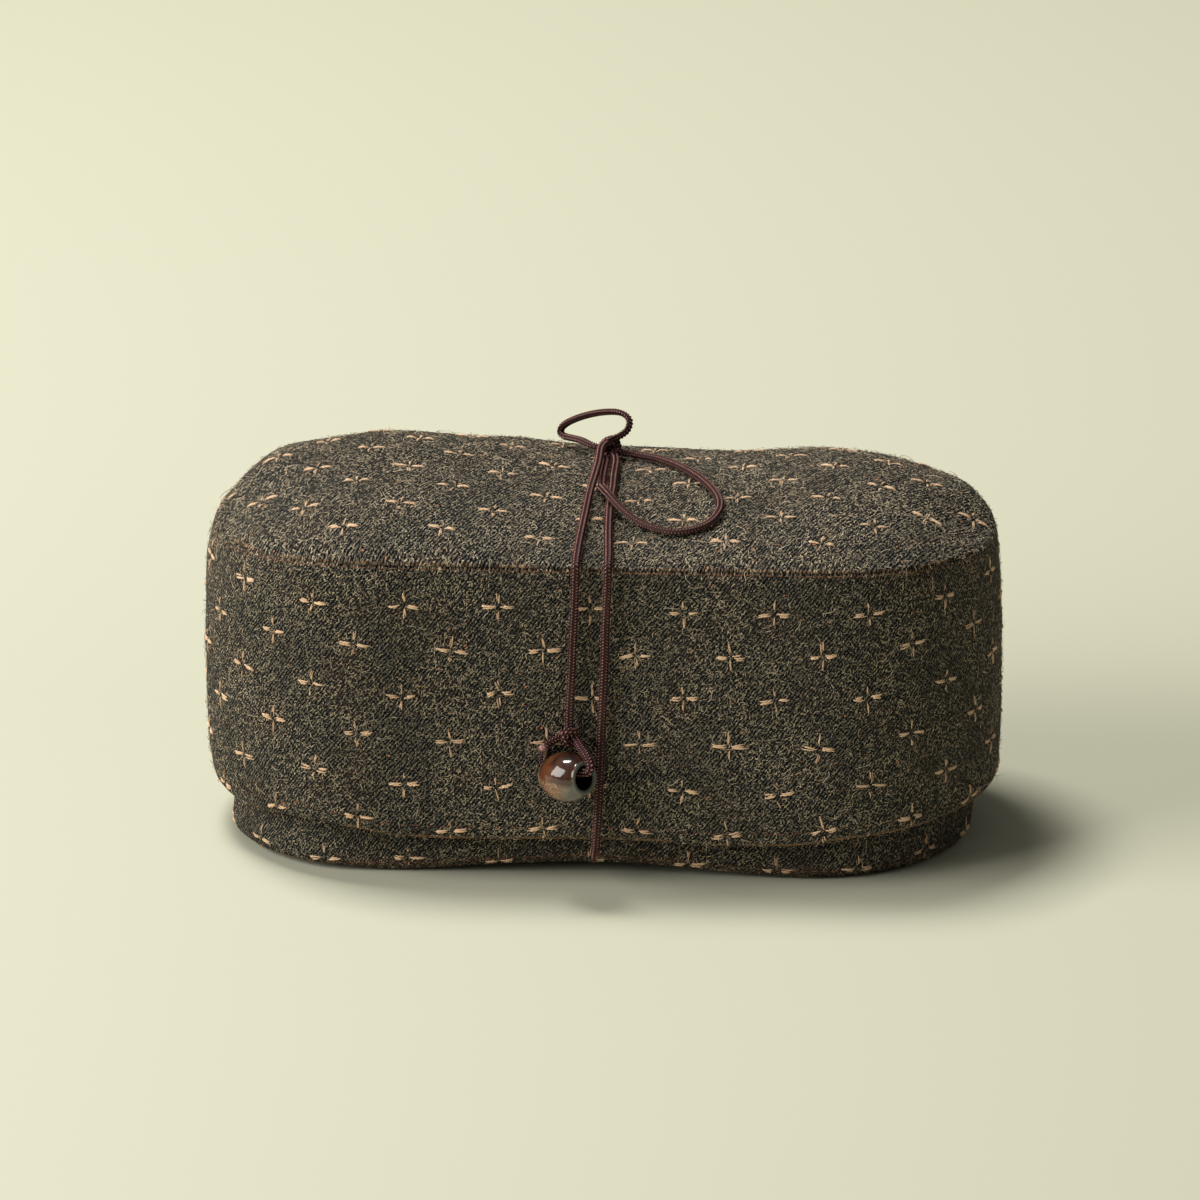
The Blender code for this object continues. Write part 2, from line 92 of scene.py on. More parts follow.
# The plan's stretches from the middle of the front, and the turns and centres at their ends
QUARTER = CORNER * math.pi / 2
PLAN_LENGTHS = (STRAIGHT, QUARTER, 2 * END_STRAIGHT, QUARTER, 2 * STRAIGHT,
                QUARTER, 2 * END_STRAIGHT, QUARTER, STRAIGHT)
PLAN_PLACES = np.concatenate([[0], np.cumsum(PLAN_LENGTHS)])
PLAN_TURNS = np.radians([-90, -90, 0, 0, 90, 90, 180, 180, 270, 270])
PLAN_CENTRE_X = STRAIGHT * np.array([0, 1, 1, 1, 1, -1, -1, -1, -1, 0])
PLAN_CENTRE_Y = END_STRAIGHT * np.array([-1, -1, -1, 1, 1, 1, 1, -1, -1, -1])
GIRTH = PLAN_PLACES[-1]
BEAD_CENTRE = (-0.0066, -0.0697, 0.0381)


# Meshes from grids of points

def signed_volume(points, quads):
    """Volume of a closed mesh, negative when its faces point inwards."""
    a, b, c, d = (points[quads[:, corner]] for corner in range(4))
    return (np.einsum("ij,ij->i", a, np.cross(b, c)) + np.einsum("ij,ij->i", a, np.cross(c, d))).sum() / 6


def mesh_object(name, points, quads, caps=(), places=None, marks=None):
    """An object from points, four-sided faces and capping faces, all smooth and facing out."""
    if signed_volume(points, quads) < 0:
        quads = quads[:, ::-1]
        places = None if places is None else places[:, ::-1]
        caps = [cap[::-1] for cap in caps]
    mesh = bpy.data.meshes.new(name)
    loops = np.concatenate([quads.ravel(), *[np.asarray(cap) for cap in caps]]).astype(np.int32)
    sizes = np.array([4] * len(quads) + [len(cap) for cap in caps], np.int32)
    mesh.vertices.add(len(points))
    mesh.vertices.foreach_set("co", points.astype(np.float32).ravel())
    mesh.loops.add(len(loops))
    mesh.loops.foreach_set("vertex_index", loops)
    mesh.polygons.add(len(sizes))
    mesh.polygons.foreach_set("loop_start", np.concatenate([[0], np.cumsum(sizes)[:-1]]).astype(np.int32))
    mesh.polygons.foreach_set("use_smooth", np.ones(len(sizes), bool))
    mesh.update(calc_edges=True)
    mesh.validate()
    if places is not None:
        layer = mesh.uv_layers.new(name="weave")
        flat = np.zeros((len(loops), 2), np.float32)
        flat[:places.shape[0] * 4] = places.reshape(-1, 2)
        layer.data.foreach_set("uv", flat.ravel())
    for mark, values in (marks or {}).items():
        attribute = mesh.attributes.new(mark, "FLOAT", "POINT")
        attribute.data.foreach_set("value", np.asarray(values, np.float32).ravel())
    piece = bpy.data.objects.new(name, mesh)
    bpy.context.scene.collection.objects.link(piece)
    return piece


def grid_cells(rows, columns, loop_rows=False):
    """The row and column of each cell of a grid with closed columns, and its corners' numbers."""
    row, column = np.meshgrid(np.arange(rows if loop_rows else rows - 1), np.arange(columns), indexing="ij")
    below, beside = (row + 1) % rows, (column + 1) % columns
    corners = np.stack([row * columns + column, row * columns + beside,
                        below * columns + beside, below * columns + column], -1).reshape(-1, 4)
    return row, column, corners


def grid_object(name, grid, loop_rows=False, capped=False, places=None, marks=None):
    """An object from rows and closed columns of points. places has one more row or column where they close."""
    rows, columns = grid.shape[:2]
    row, column, quads = grid_cells(rows, columns, loop_rows)
    corners = None
    if places is not None:
        corners = np.stack([places[row, column], places[row, column + 1],
                            places[row + 1, column + 1], places[row + 1, column]], 2).reshape(-1, 4, 2)
    caps = [np.arange(columns)[::-1], (rows - 1) * columns + np.arange(columns)] if capped else []
    return mesh_object(name, grid.reshape(-1, 3), quads, caps, corners, marks)


def unit(vectors):
    """The vectors at length one."""
    return vectors / np.maximum(np.linalg.norm(vectors, axis=-1, keepdims=True), 1e-12)


def ease(value):
    """0 below 0 and 1 above 1, with a smooth rise between."""
    share = np.clip(value, 0, 1)
    return share * share * (3 - 2 * share)


def soft_noise(points, size, seed=0):
    """Smooth noise from -1 to 1 whose lumps are about size across."""
    shift = Vector((seed * 7.31, seed * 3.17, seed * 5.53))
    values = [noise.noise(Vector(point) / size + shift) for point in points.reshape(-1, 3)]
    return np.array(values).reshape(points.shape[:-1])


# The camera

def aim_camera():
    """A far camera that looks as the photograph does."""
    right = Vector((math.cos(VIEW_TURN), math.sin(VIEW_TURN), 0))
    back = Vector((math.sin(VIEW_TURN) * math.cos(VIEW_RISE),
                   -math.cos(VIEW_TURN) * math.cos(VIEW_RISE), math.sin(VIEW_RISE)))
    up = back.cross(right)
    lens = bpy.data.cameras.new("camera")
    lens.lens = VIEW_LENS
    lens.sensor_width = 36
    lens.clip_end = 50
    camera = bpy.data.objects.new("camera", lens)
    camera.location = right * VIEW_RIGHT + up * VIEW_UP + back * VIEW_DISTANCE
    camera.rotation_euler = back.to_track_quat("Z", "Y").to_euler()
    bpy.context.scene.collection.objects.link(camera)
    bpy.context.scene.camera = camera


# The cord: its stretches' middle lines, as the model has them

FRONT_ROUTE = [
    (0.0016, 0.0266, 0.1062), (0.0024, 0.0195, 0.1068), (0.0026, 0.0120, 0.1072),
    (0.0027, 0.0030, 0.1074), (0.0030, -0.0070, 0.1075), (0.0031, -0.0170, 0.1074),
    (0.0032, -0.0270, 0.1069), (0.0036, -0.0380, 0.1058), (0.0042, -0.0490, 0.1043),
    (0.0047, -0.0570, 0.1029), (0.0048, -0.0600, 0.1023), (0.0049, -0.0620, 0.1014),
    (0.0049, -0.0629, 0.0998), (0.0049, -0.0629, 0.0970), (0.0043, -0.0628, 0.0840),
    (0.0040, -0.0628, 0.0720), (0.0035, -0.0628, 0.0600), (0.0030, -0.0628, 0.0480),
    (0.0025, -0.0628, 0.0360), (0.0020, -0.0628, 0.0240), (0.0015, -0.0628, 0.0160),
    (0.0013, -0.0626, 0.0125), (0.0010, -0.0612, 0.0092), (0.0006, -0.0584, 0.0062),
    (0.0003, -0.0557, 0.0038),
]
UNDER_ROUTE = [
    (0.0003, -0.0554, 0.0036), (0.0002, -0.0537, 0.0023), (0.0001, -0.0512, 0.0017),
    (0.0000, -0.0400, 0.0017), (0.0000, -0.0250, 0.0017), (0.0000, -0.0080, 0.0017),
    (0.0000, 0.0080, 0.0017), (0.0000, 0.0250, 0.0017), (0.0000, 0.0400, 0.0017),
    (0.0000, 0.0512, 0.0017), (0.0000, 0.0537, 0.0023), (0.0000, 0.0554, 0.0036),
]
BACK_ROUTE = [
    (0.0000, 0.0557, 0.0038), (0.0000, 0.0584, 0.0062), (0.0000, 0.0612, 0.0092),
    (0.0000, 0.0626, 0.0125), (0.0000, 0.0628, 0.0160), (-0.0002, 0.0628, 0.0280),
    (-0.0004, 0.0628, 0.0420), (-0.0006, 0.0628, 0.0560), (-0.0008, 0.0628, 0.0700),
    (-0.0009, 0.0628, 0.0820), (-0.0010, 0.0629, 0.0930), (-0.0010, 0.0630, 0.0975),
    (-0.0010, 0.0621, 0.0998), (-0.0010, 0.0600, 0.1008), (-0.0010, 0.0545, 0.1020),
    (-0.0010, 0.0480, 0.1032), (-0.0010, 0.0410, 0.1044), (-0.0010, 0.0344, 0.1056),
]
RIGHT_LOOP_ROUTE = [
    (0.0036, 0.0293, 0.1065), (0.0082, 0.0282, 0.1063), (0.0162, 0.0205, 0.1074),
    (0.0248, 0.0065, 0.1088), (0.0314, -0.0080, 0.1095), (0.0354, -0.0205, 0.1093),
    (0.0360, -0.0295, 0.1085), (0.0332, -0.0380, 0.1073), (0.0277, -0.0420, 0.1063),
    (0.0220, -0.0424, 0.1060), (0.0137, -0.0376, 0.1065), (0.0076, -0.0312, 0.1086),
    (0.0032, -0.0235, 0.1104), (0.0006, -0.0150, 0.1099), (-0.0002, -0.0064, 0.1076),
    (-0.0005, 0.0030, 0.1074), (-0.0006, 0.0120, 0.1071), (-0.0007, 0.0195, 0.1068),
    (-0.0016, 0.0257, 0.1063),
]
LEFT_LOOP_ROUTE = [
    (-0.0052, 0.0312, 0.1079), (-0.0090, 0.0360, 0.1079), (-0.0124, 0.0410, 0.1070),
    (-0.0146, 0.0446, 0.1063), (-0.0159, 0.0463, 0.1068), (-0.0156, 0.0464, 0.1086),
    (-0.0124, 0.0444, 0.1115), (-0.0064, 0.0404, 0.1149), (-0.0004, 0.0363, 0.1171),
    (0.0036, 0.0335, 0.1175), (0.0057, 0.0317, 0.1160), (0.0053, 0.0304, 0.1136),
    (0.0033, 0.0296, 0.1119), (0.0010, 0.0285, 0.1111), (-0.0008, 0.0262, 0.1107),
]
TAIL_UPPER_ROUTE = [
    (-0.0010, 0.0258, 0.1106), (-0.0019, 0.0228, 0.1107), (-0.0023, 0.0190, 0.1105),
    (-0.0023, 0.0130, 0.1103), (-0.0023, 0.0050, 0.1103), (-0.0027, -0.0070, 0.1102),
    (-0.0034, -0.0180, 0.1086), (-0.0038, -0.0300, 0.1068), (-0.0042, -0.0420, 0.1054),
    (-0.0045, -0.0520, 0.1038), (-0.0046, -0.0580, 0.1027), (-0.0046, -0.0606, 0.1022),
    (-0.0046, -0.0623, 0.1013), (-0.0046, -0.0628, 0.0993), (-0.0047, -0.0628, 0.0970),
]
TAIL_LOWER_ROUTE = [
    (-0.0047, -0.0628, 0.0970), (-0.0047, -0.0628, 0.0947), (-0.0050, -0.0628, 0.0870),
    (-0.0054, -0.0628, 0.0790), (-0.0057, -0.0628, 0.0710), (-0.0061, -0.0629, 0.0630),
    (-0.0064, -0.0632, 0.0568), (-0.0064, -0.0640, 0.0523), (-0.0059, -0.0652, 0.0498),
    (-0.0042, -0.0667, 0.0486), (-0.0024, -0.0700, 0.0472), (-0.0005, -0.0734, 0.0457),
    (0.0006, -0.0754, 0.0436), (0.0002, -0.0755, 0.0418), (-0.0012, -0.0743, 0.0411),
    (-0.0040, -0.0719, 0.0404), (-0.0068, -0.0695, 0.0398), (-0.0096, -0.0672, 0.0391),
    (-0.0125, -0.0648, 0.0385), (-0.0142, -0.0634, 0.0388), (-0.0150, -0.0629, 0.0408),
    (-0.0142, -0.0628, 0.0434), (-0.0120, -0.0629, 0.0460), (-0.0094, -0.0637, 0.0481),
    (-0.0075, -0.0650, 0.0494), (-0.0079, -0.0662, 0.0494), (-0.0090, -0.0666, 0.0490),
    (-0.0117, -0.0674, 0.0478), (-0.0144, -0.0681, 0.0459),
]


def even_route(points, step):
    """Evenly spaced points on one smooth curve through the route's own points."""
    route = np.array(points, float)
    before = np.vstack([2 * route[0] - route[1], route[:-1]])
    after = np.vstack([route[1:], 2 * route[-1] - route[-2]])
    heading = unit(after - before)
    length = np.linalg.norm(np.diff(route, axis=0), axis=1)[:, None, None]
    t = np.linspace(0, 1, 40, endpoint=False)[None, :, None]
    start, end = route[:-1, None], route[1:, None]
    leave, arrive = heading[:-1, None] * length, heading[1:, None] * length
    curve = (start * (2 * t ** 3 - 3 * t ** 2 + 1) + leave * (t ** 3 - 2 * t ** 2 + t)
             + end * (3 * t ** 2 - 2 * t ** 3) + arrive * (t ** 3 - t ** 2))
    curve = np.vstack([curve.reshape(-1, 3), route[-1:]])
    along = np.concatenate([[0], np.cumsum(np.linalg.norm(np.diff(curve, axis=0), axis=1))])
    places = np.linspace(0, along[-1], max(2, round(along[-1] / step)) + 1)
    return np.stack([np.interp(places, along, curve[:, axis]) for axis in range(3)], 1)


def carried_sideways(path):
    """A sideways and an upward direction at each point of a path, without twist."""
    heading = unit(np.gradient(path, axis=0))
    side = np.zeros_like(path)
    first = np.cross(heading[0], (0, 0, 1))
    side[0] = first if np.linalg.norm(first) > 0.1 else np.cross(heading[0], (0, 1, 0))
    for place in range(1, len(path)):
        carried = side[place - 1] - heading[place] * np.dot(side[place - 1], heading[place])
        side[place] = carried / np.linalg.norm(carried)
    side[0] /= np.linalg.norm(side[0])
    return side, np.cross(heading, side)


def route_length(path):
    """Length of a path."""
    return float(np.linalg.norm(np.diff(path, axis=0), axis=1).sum())


def braid_crest(around, along):
    """The braid's height, from 0 between its slanting stitches to 1 on them, in mirrored columns."""
    column = np.mod(BRAID_COLUMNS * (around - 0.25), BRAID_COLUMNS)
    across = np.mod(column, 1) - 0.5
    mirror = np.where(np.floor(column) % 2 < 1, 1.0, -1.0)
    beat = along / BRAID_PITCH + mirror * (across * 0.7 + 0.20)
    return np.cos(np.pi * across) ** 1.1 * (0.5 + 0.5 * np.cos(2 * np.pi * beat)) ** 1.2


def behind_bead(path):
    """1 where the cord is squeezed between the bead and the case, and 0 elsewhere."""
    x, y, z = path.T
    return ease((y + 0.0655) / 0.0010) * ease((0.0490 - z) / 0.0020) * ease((-0.0100 - x) / 0.0020)


def at_foot(path):
    """1 where the cord is drawn tight under the case's edge, and 0 elsewhere."""
    return ease((np.abs(path[:, 1]) - 0.0460) / 0.0040) * ease((0.0090 - path[:, 2]) / 0.0050)


def drawn_up(path):
    """How far the cord's low stretches are drawn up with the arched bottom, most of all at the case's edge."""
    low = ease((0.0160 - path[:, 2]) / 0.0130)
    rise = 0.0012 + 0.0022 * ease((np.abs(path[:, 1]) - 0.0420) / 0.0080)
    return np.stack([0 * low, 0 * low, low * rise], 1)


def braided_cord(name, route, lead_in=None, lead_out=None, frayed=0.0):
    """A slightly flat braid along its route. A lead is a place inside a knot where the cord's end is hidden."""
    points = ([lead_in] if lead_in else []) + list(route) + ([lead_out] if lead_out else [])
    path = even_route(points, BRAID_STEP)
    tight = FOOT_SQUEEZE * at_foot(path)[:, None]
    path = path + drawn_up(path)
    side, rise = carried_sideways(path)
    length = route_length(path)
    along = np.arange(len(path))[:, None] * length / (len(path) - 1)
    around = np.arange(BRAID_SIDES)[None, :] / BRAID_SIDES
    crest = braid_crest(around, along)
    relief_depth = BRAID_RELIEF * (1 - crest)
    pressed = (1 - BEAD_SQUEEZE * behind_bead(path)[:, None]) * (1 - tight)
    wide, thick = (CORD_DIAMETER / 2 - relief_depth) * pressed, (CORD_THICKNESS / 2 - relief_depth) * pressed
    turn = 2 * np.pi * around
    grid = (path[:, None] + side[:, None] * (wide * np.cos(turn))[..., None]
            + rise[:, None] * (thick * np.sin(turn))[..., None])
    fray = np.broadcast_to(ease((along - length + frayed) / max(frayed, 1e-9)), crest.shape)
    piece = grid_object(name, grid, capped=True, marks={"crest": crest, "fray": fray})
    return piece, path


# Each cord's route, and the places inside a knot where its ends are hidden
ROUTES = {"cord_front": FRONT_ROUTE, "cord_under": UNDER_ROUTE, "cord_back": BACK_ROUTE,
          "bow_right": RIGHT_LOOP_ROUTE, "bow_left": LEFT_LOOP_ROUTE,
          "tail_upper": TAIL_UPPER_ROUTE, "tail_lower": TAIL_LOWER_ROUTE}
LEADS = {
    "cord_front": {"lead_in": (0.0006, 0.0298, 0.1064)},
    "cord_back": {"lead_out": (-0.0008, 0.0300, 0.1062)},
    "bow_right": {"lead_in": (-0.0006, 0.0302, 0.1068), "lead_out": (-0.0014, 0.0300, 0.1066)},
    "bow_left": {"lead_in": (-0.0016, 0.0302, 0.1074)},
    "tail_lower": {"frayed": 0.0022},
}


def make_cords():
    """Every stretch of the tied cord, with its path."""
    return {name: braided_cord(name, route, **LEADS.get(name, {})) for name, route in ROUTES.items()}


aim_camera()
cords = make_cords()


# The forms of the cloth

def hump(x, middle, width):
    """1 at the middle, falling smoothly to 0 beside it."""
    return np.exp(-((x - middle) / width) ** 2)


def seam_height(x, y):
    """Height of the top seam, which drops towards the ends and the back."""
    end = np.maximum(np.abs(x) - STRAIGHT, 0) / CORNER
    back = (y + HALF_DEPTH) / (2 * HALF_DEPTH)
    wave = 0.0012 * hump(x, -0.028, 0.013) - 0.0014 * hump(x, 0.036, 0.018)
    return SEAM_HEIGHT - 0.004 * end ** 2 + (wave - 0.0015) * back ** 2


def top_height(x, y):
    """Height of the crowned top, with the saddle that the cord pulls into it."""
    beyond = np.maximum(np.abs(x) - STRAIGHT, 0) * HALF_DEPTH / CORNER
    reach = np.hypot(beyond, y) / HALF_DEPTH
    crown = np.maximum(0, 1 - reach ** 2.4)
    return seam_height(x, y) + crown * (CROWN - 0.003 * hump(x, 0, 0.030))


def plan(places, inset):
    """Points and outward directions on the rounded plan, at distances along it from the middle of the front."""
    places = np.mod(places, GIRTH)
    turn = np.interp(places, PLAN_PLACES, PLAN_TURNS)
    out = np.stack([np.cos(turn), np.sin(turn)], -1)
    centre = np.stack([np.interp(places, PLAN_PLACES, line) for line in (PLAN_CENTRE_X, PLAN_CENTRE_Y)], -1)
    return centre + (CORNER - np.asarray(inset)[..., None]) * out, out


def relief(points, seed, broad=0.0005, lumps=0.00022, nap=0.00007):
    """How far the cloth stands out or in: broad slack, lumps of the filling, and its nap."""
    return (broad * soft_noise(points, 0.045, seed) + lumps * soft_noise(points, 0.012, seed + 1)
            + nap * soft_noise(points, 0.0022, seed + 2))


def through(places, knots, values):
    """A smooth line through the values at the knots."""
    knots, values = np.asarray(knots), np.asarray(values)
    place = np.clip(places, knots[0], knots[-1])
    span = np.clip(np.searchsorted(knots, place, side="right") - 1, 0, len(knots) - 2)
    share = ease((place - knots[span]) / (knots[span + 1] - knots[span]))
    return values[span] + (values[span + 1] - values[span]) * share


def hem_rise(x, y):
    """How far the hem hangs above its nominal height: drawn up by the cord, and again at the ends."""
    front = through(x, [-0.120, -0.084, -0.072, -0.057, -0.045, 0.000, 0.018, 0.035, 0.055, 0.082, 0.120],
                    [0.0014, 0.0036, 0.0027, 0.0006, 0.0001, 0.0006, 0.0006, -0.0006, -0.0002, 0.0022, 0.0040])
    back = through(x, [-0.120, -0.060, 0.000, 0.060, 0.120], [0.0028, 0.0004, 0.0006, 0.0004, 0.0040])
    return front + (back - front) * ease((y + 0.030) / 0.060)


def settle(points):
    """Draw the lid's ends in, most of all at the shoulders and the left corner of the hem."""
    x, height = points[..., 0], points[..., 2]
    left, right = ease((-x - 0.070) / 0.050), ease((x - 0.070) / 0.050)
    left_shoulder = np.clip((height - 0.084) / 0.013, 0, 1) ** 1.5
    right_shoulder = np.clip((height - 0.076) / 0.021, 0, 1) ** 1.2
    foot = np.clip((0.028 - height) / 0.012, 0, 1)
    settled = points.copy()
    settled[..., 0] += left * (0.0013 + 0.0018 * left_shoulder + 0.0014 * foot)
    settled[..., 0] -= right * (0.0013 + 0.0010 * right_shoulder)
    return settled


def swept_shell(name, profile, spacing, shape, seed, wear, warp=None):
    """A closed band of cloth round the case: the profile's insets and heights, swept along the plan.

    shape(x, y, height) gives the real height of a nominal one, and a bulge outwards.
    """
    count = round(GIRTH / spacing)
    places = np.arange(count) * GIRTH / count
    inset, height, loose = (np.array(column)[:, None] for column in zip(*profile))
    size = len(profile), count
    outline, out = plan(np.broadcast_to(places, size), np.broadcast_to(inset, size))
    edge = plan(places, 0)[0]
    real, bulge = shape(edge[:, 0], edge[:, 1], np.broadcast_to(height, size))
    points = np.concatenate([outline, real[..., None]], -1)
    stand = (relief(points, seed) + bulge) * loose
    points[..., :2] += out * stand[..., None]
    points = points if warp is None else warp(points)
    down = height - inset
    uv = np.stack(np.broadcast_arrays(np.append(places, GIRTH)[None, :], np.append(down, down[0])[:, None]), -1)
    marks = np.broadcast_to(np.array([wear(point) for point in profile])[:, None], size)
    return grid_object(name, points, loop_rows=True, places=uv, marks={"wear": marks})


def smooth_profile(*knots, spacing):
    """Insets, heights and looseness at even steps along straight stretches through the knots, closed."""
    points = []
    for start, end in zip(np.array(knots), np.roll(knots, -1, axis=0)):
        steps = max(1, round(float(np.linalg.norm((end - start)[:2])) / spacing))
        points += [tuple(start + (end - start) * step / steps) for step in range(steps)]
    return points


def lid_shape(x, y, height):
    """Height and bulge of the lid's skirt: the hem rises to the ends and the wall is filled out."""
    seam = seam_height(x, y)
    hem = HEM_HEIGHT + hem_rise(x, y)
    share = np.clip((height - HEM_HEIGHT) / (SEAM_HEIGHT - HEM_HEIGHT), -0.05, 1.05)
    middle = np.clip(4 * share * (1 - share), 0, 1) ** 0.7
    front_cord = hump(x, 0.001, CORD_REACH) * (1 - 0.3 * share)
    return hem + share * (seam - hem), 0.0011 * middle * (1 - front_cord) - 0.0004 * front_cord


def make_lid_skirt():
    """The outer cloth of the skirt, folded in at the hem and turned in at the seam."""
    profile = smooth_profile(
        (0.0034, 0.0995, 0.0), (0.0022, 0.0996, 0.1), (0.0014, 0.0994, 0.3), (0.0009, 0.0988, 0.6),
        (0.0008, 0.0974, 1.0), (0.0003, 0.0420, 1.0), (0.0002, 0.0175, 0.9), (0.0004, 0.0153, 0.8),
        (0.0010, 0.0142, 0.7), (0.0020, 0.0138, 0.5), (0.0031, 0.0141, 0.4), (0.0041, 0.0150, 0.3),
        (0.0048, 0.0164, 0.2), (0.0052, 0.0200, 0.1), (0.0056, 0.0300, 0.0), (0.0046, 0.0302, 0.0),
        (0.0022, 0.0400, 0.0), spacing=CLOTH_STEP)

    def wear(point):
        hem = 0.9 * max(0.0, 1 - abs(point[1] - 0.0143) / 0.0006)
        seam = 0.2 * max(0.0, 1 - abs(point[1] - 0.0985) / 0.0010)
        return hem + seam

    return swept_shell("lid_skirt", profile, CLOTH_STEP, lid_shape, 11, wear, settle)


def ring_grid(inset, shares, count):
    """Rings of points over the plan, from its long middle line out to its edge."""
    places = np.arange(count) * GIRTH / count
    edge = plan(places, np.full(count, inset))[0]
    spine = np.stack([np.clip(edge[:, 0], -STRAIGHT, STRAIGHT), np.zeros(count)], -1)
    return spine + (edge - spine) * np.asarray(shares)[:, None, None]


def panel(name, inset, upper, lower, rim, shares, count, wear, warp=None, grain=1.0):
    """A closed panel over the plan. upper and lower give the height at x, y and share of the way out.

    rim lists the insets and drops of the turned-in edge, below the panel's own edge. A grain below 1 draws the
    weave out from front to back.
    """
    above = ring_grid(inset, shares, count)
    below = ring_grid(rim[-1][0], shares, count)[::-1][::3]
    share_above = np.broadcast_to(np.asarray(shares)[:, None], above.shape[:2])
    share_below = np.broadcast_to(np.asarray(shares)[::-1][::3][:, None], below.shape[:2])
    top = np.concatenate([above, upper(above[..., 0], above[..., 1], share_above)[..., None]], -1)
    foot = np.concatenate([below, lower(below[..., 0], below[..., 1], share_below)[..., None]], -1)
    turned = []
    for rim_inset, drop in rim:
        ring = plan(np.arange(count) * GIRTH / count, np.full(count, rim_inset))[0]
        turned.append(np.concatenate([ring, (top[-1, :, 2] - drop)[:, None]], -1))
    grid = np.concatenate([top, np.array(turned), foot[1:]])
    grid = grid if warp is None else warp(grid)
    uv = np.concatenate([grid[..., :2], grid[:, :1, :2]], 1) * np.array([1.0, grain])
    marks = np.zeros(grid.shape[:2])
    marks[len(shares) - 2:len(shares) + 2] = wear
    piece = grid_object(name, grid, places=uv, marks={"wear": marks})
    weld(piece, 0.00004)
    return piece


def weld(piece, distance):
    """Join points that meet, such as along the middle line of a panel."""
    work = bmesh.new()
    work.from_mesh(piece.data)
    bmesh.ops.remove_doubles(work, verts=work.verts, dist=distance)
    bmesh.ops.recalc_face_normals(work, faces=work.faces)
    work.to_mesh(piece.data)
    work.free()


# Shares of the way out to the edge of a panel, fine near a rolled edge
OUTWARD = np.concatenate([np.linspace(0, 0.94, 40), [0.955, 0.968, 0.978, 0.986, 0.993, 1.0]])
PLAIN_OUTWARD = np.linspace(0, 1, 25)


def make_lid_top():
    """The crowned top panel, rolled down into the seam and closed below."""
    def upper(x, y, share):
        rolled = np.interp(share, [0, 0.95, 0.98, 0.993, 1.0], [0, 0, 0.0001, 0.0003, 0.0006])
        height = top_height(x, y) - rolled
        free = 1 - (1 - np.minimum(1, (1 - share) / 0.09)) ** 2
        towards_back = 0.45 + 0.55 * ease((y + 0.020) / 0.060)
        ends = 0.0032 * hump(x, -0.104, 0.012) + 0.0024 * hump(x, 0.111, 0.010)
        swell = 0.0034 * hump(x, -0.070, 0.040) * towards_back + 0.0006 * hump(x, 0.06, 0.035)
        swell = swell + ease((y + 0.010) / 0.030) * ends
        dent = 0.0014 * np.exp(-((x - 0.113) ** 2 + (y + 0.012) ** 2) / 0.012 ** 2)
        front = np.where(y < 0.03, 1.0, 0.0)
        press = 0.0006 * np.maximum(hump(x, 0.004, 0.0035), hump(x, -0.0045, 0.0035)) * front
        stand = relief(np.stack([x, y, height], -1), 31) * (0.3 + 0.7 * free)
        stand = stand + swell * free - dent - press * free
        room = np.interp(np.abs(x + 0.002), [0, 0.020, 0.040, 0.056], [0.0002, 0.0004, 0.0022, 0.006])
        return height + np.minimum(stand, room)

    def lower(x, y, share):
        return seam_height(x, y) - 0.0020

    return panel("lid_top", 0.0010, upper, lower, ((0.0013, 0.0003), (0.0020, 0.0004), (0.0034, 0.0004)),
                 OUTWARD, 416, 0.25, settle, 0.6)


def make_lid_lining():
    """The inner cloth of the lid: its wall and its ceiling."""
    wall = swept_shell("lid_lining", smooth_profile(
        (0.0044, 0.0170, 0.0), (0.0052, 0.0170, 0.0), (0.0053, 0.0540, 0.0), (0.0052, 0.0905, 0.0),
        (0.0044, 0.0905, 0.0), spacing=0.006), 0.006, plain_shape, 41, lambda point: 0.0, settle)
    ceiling = panel("lid_ceiling", 0.0053, lambda x, y, share: 0.0908 + 0 * x,
                    lambda x, y, share: 0.0902 - 0.0004 * np.sqrt(1 - share) + 0.0003 + 0 * x,
                    ((0.0053, 0.0004),), PLAIN_OUTWARD, 208, 0.0)
    return wall, ceiling


def base_arch(x):
    """How far the bottom is drawn up over the cord."""
    share = np.clip((np.abs(x) - 0.003) / 0.062, 0, 1)
    return 0.0034 * (1 + np.cos(np.pi * share)) / 2


def base_shape(x, y, height):
    """Height and bulge of the base's wall over its arched bottom."""
    share = np.clip(height / RIM_HEIGHT, 0, 1)
    middle = np.clip(4 * share * (1 - share), 0, 1) ** 0.5
    pressed = hump(x, 0.0005, 0.010) * (1 - share)
    corner = ease((-x - 0.062) / 0.030) * ease((0.004 - y) / 0.032)
    full = 0.0043 * corner * (1 - share) ** 7 - 0.0008 * ease((-x - 0.100) / 0.016) * (1 - share) ** 2
    return height + base_arch(x) * (1 - share) ** 2, 0.0006 * middle - 0.0006 * pressed + full


def make_base_wall():
    """The outer cloth of the base's wall, from the rim down to the bottom seam."""
    profile = smooth_profile(
        (0.0102, 0.0884, 0.0), (0.0092, 0.0884, 0.2), (0.0090, 0.0870, 0.6), (0.0090, 0.0420, 1.0),
        (0.0090, 0.0100, 1.0), (0.0090, 0.0056, 1.0), (0.0092, 0.0034, 0.9), (0.0098, 0.0020, 0.8),
        (0.0108, 0.0013, 0.5), (0.0126, 0.0012, 0.1), (0.0130, 0.0030, 0.0), (0.0114, 0.0060, 0.0),
        (0.0106, 0.0120, 0.0), spacing=CLOTH_STEP)

    def wear(point):
        return 0.15 * max(0.0, 1 - abs(point[1] - 0.0026) / 0.0014)

    return swept_shell("base_wall", profile, CLOTH_STEP, base_shape, 51, wear)


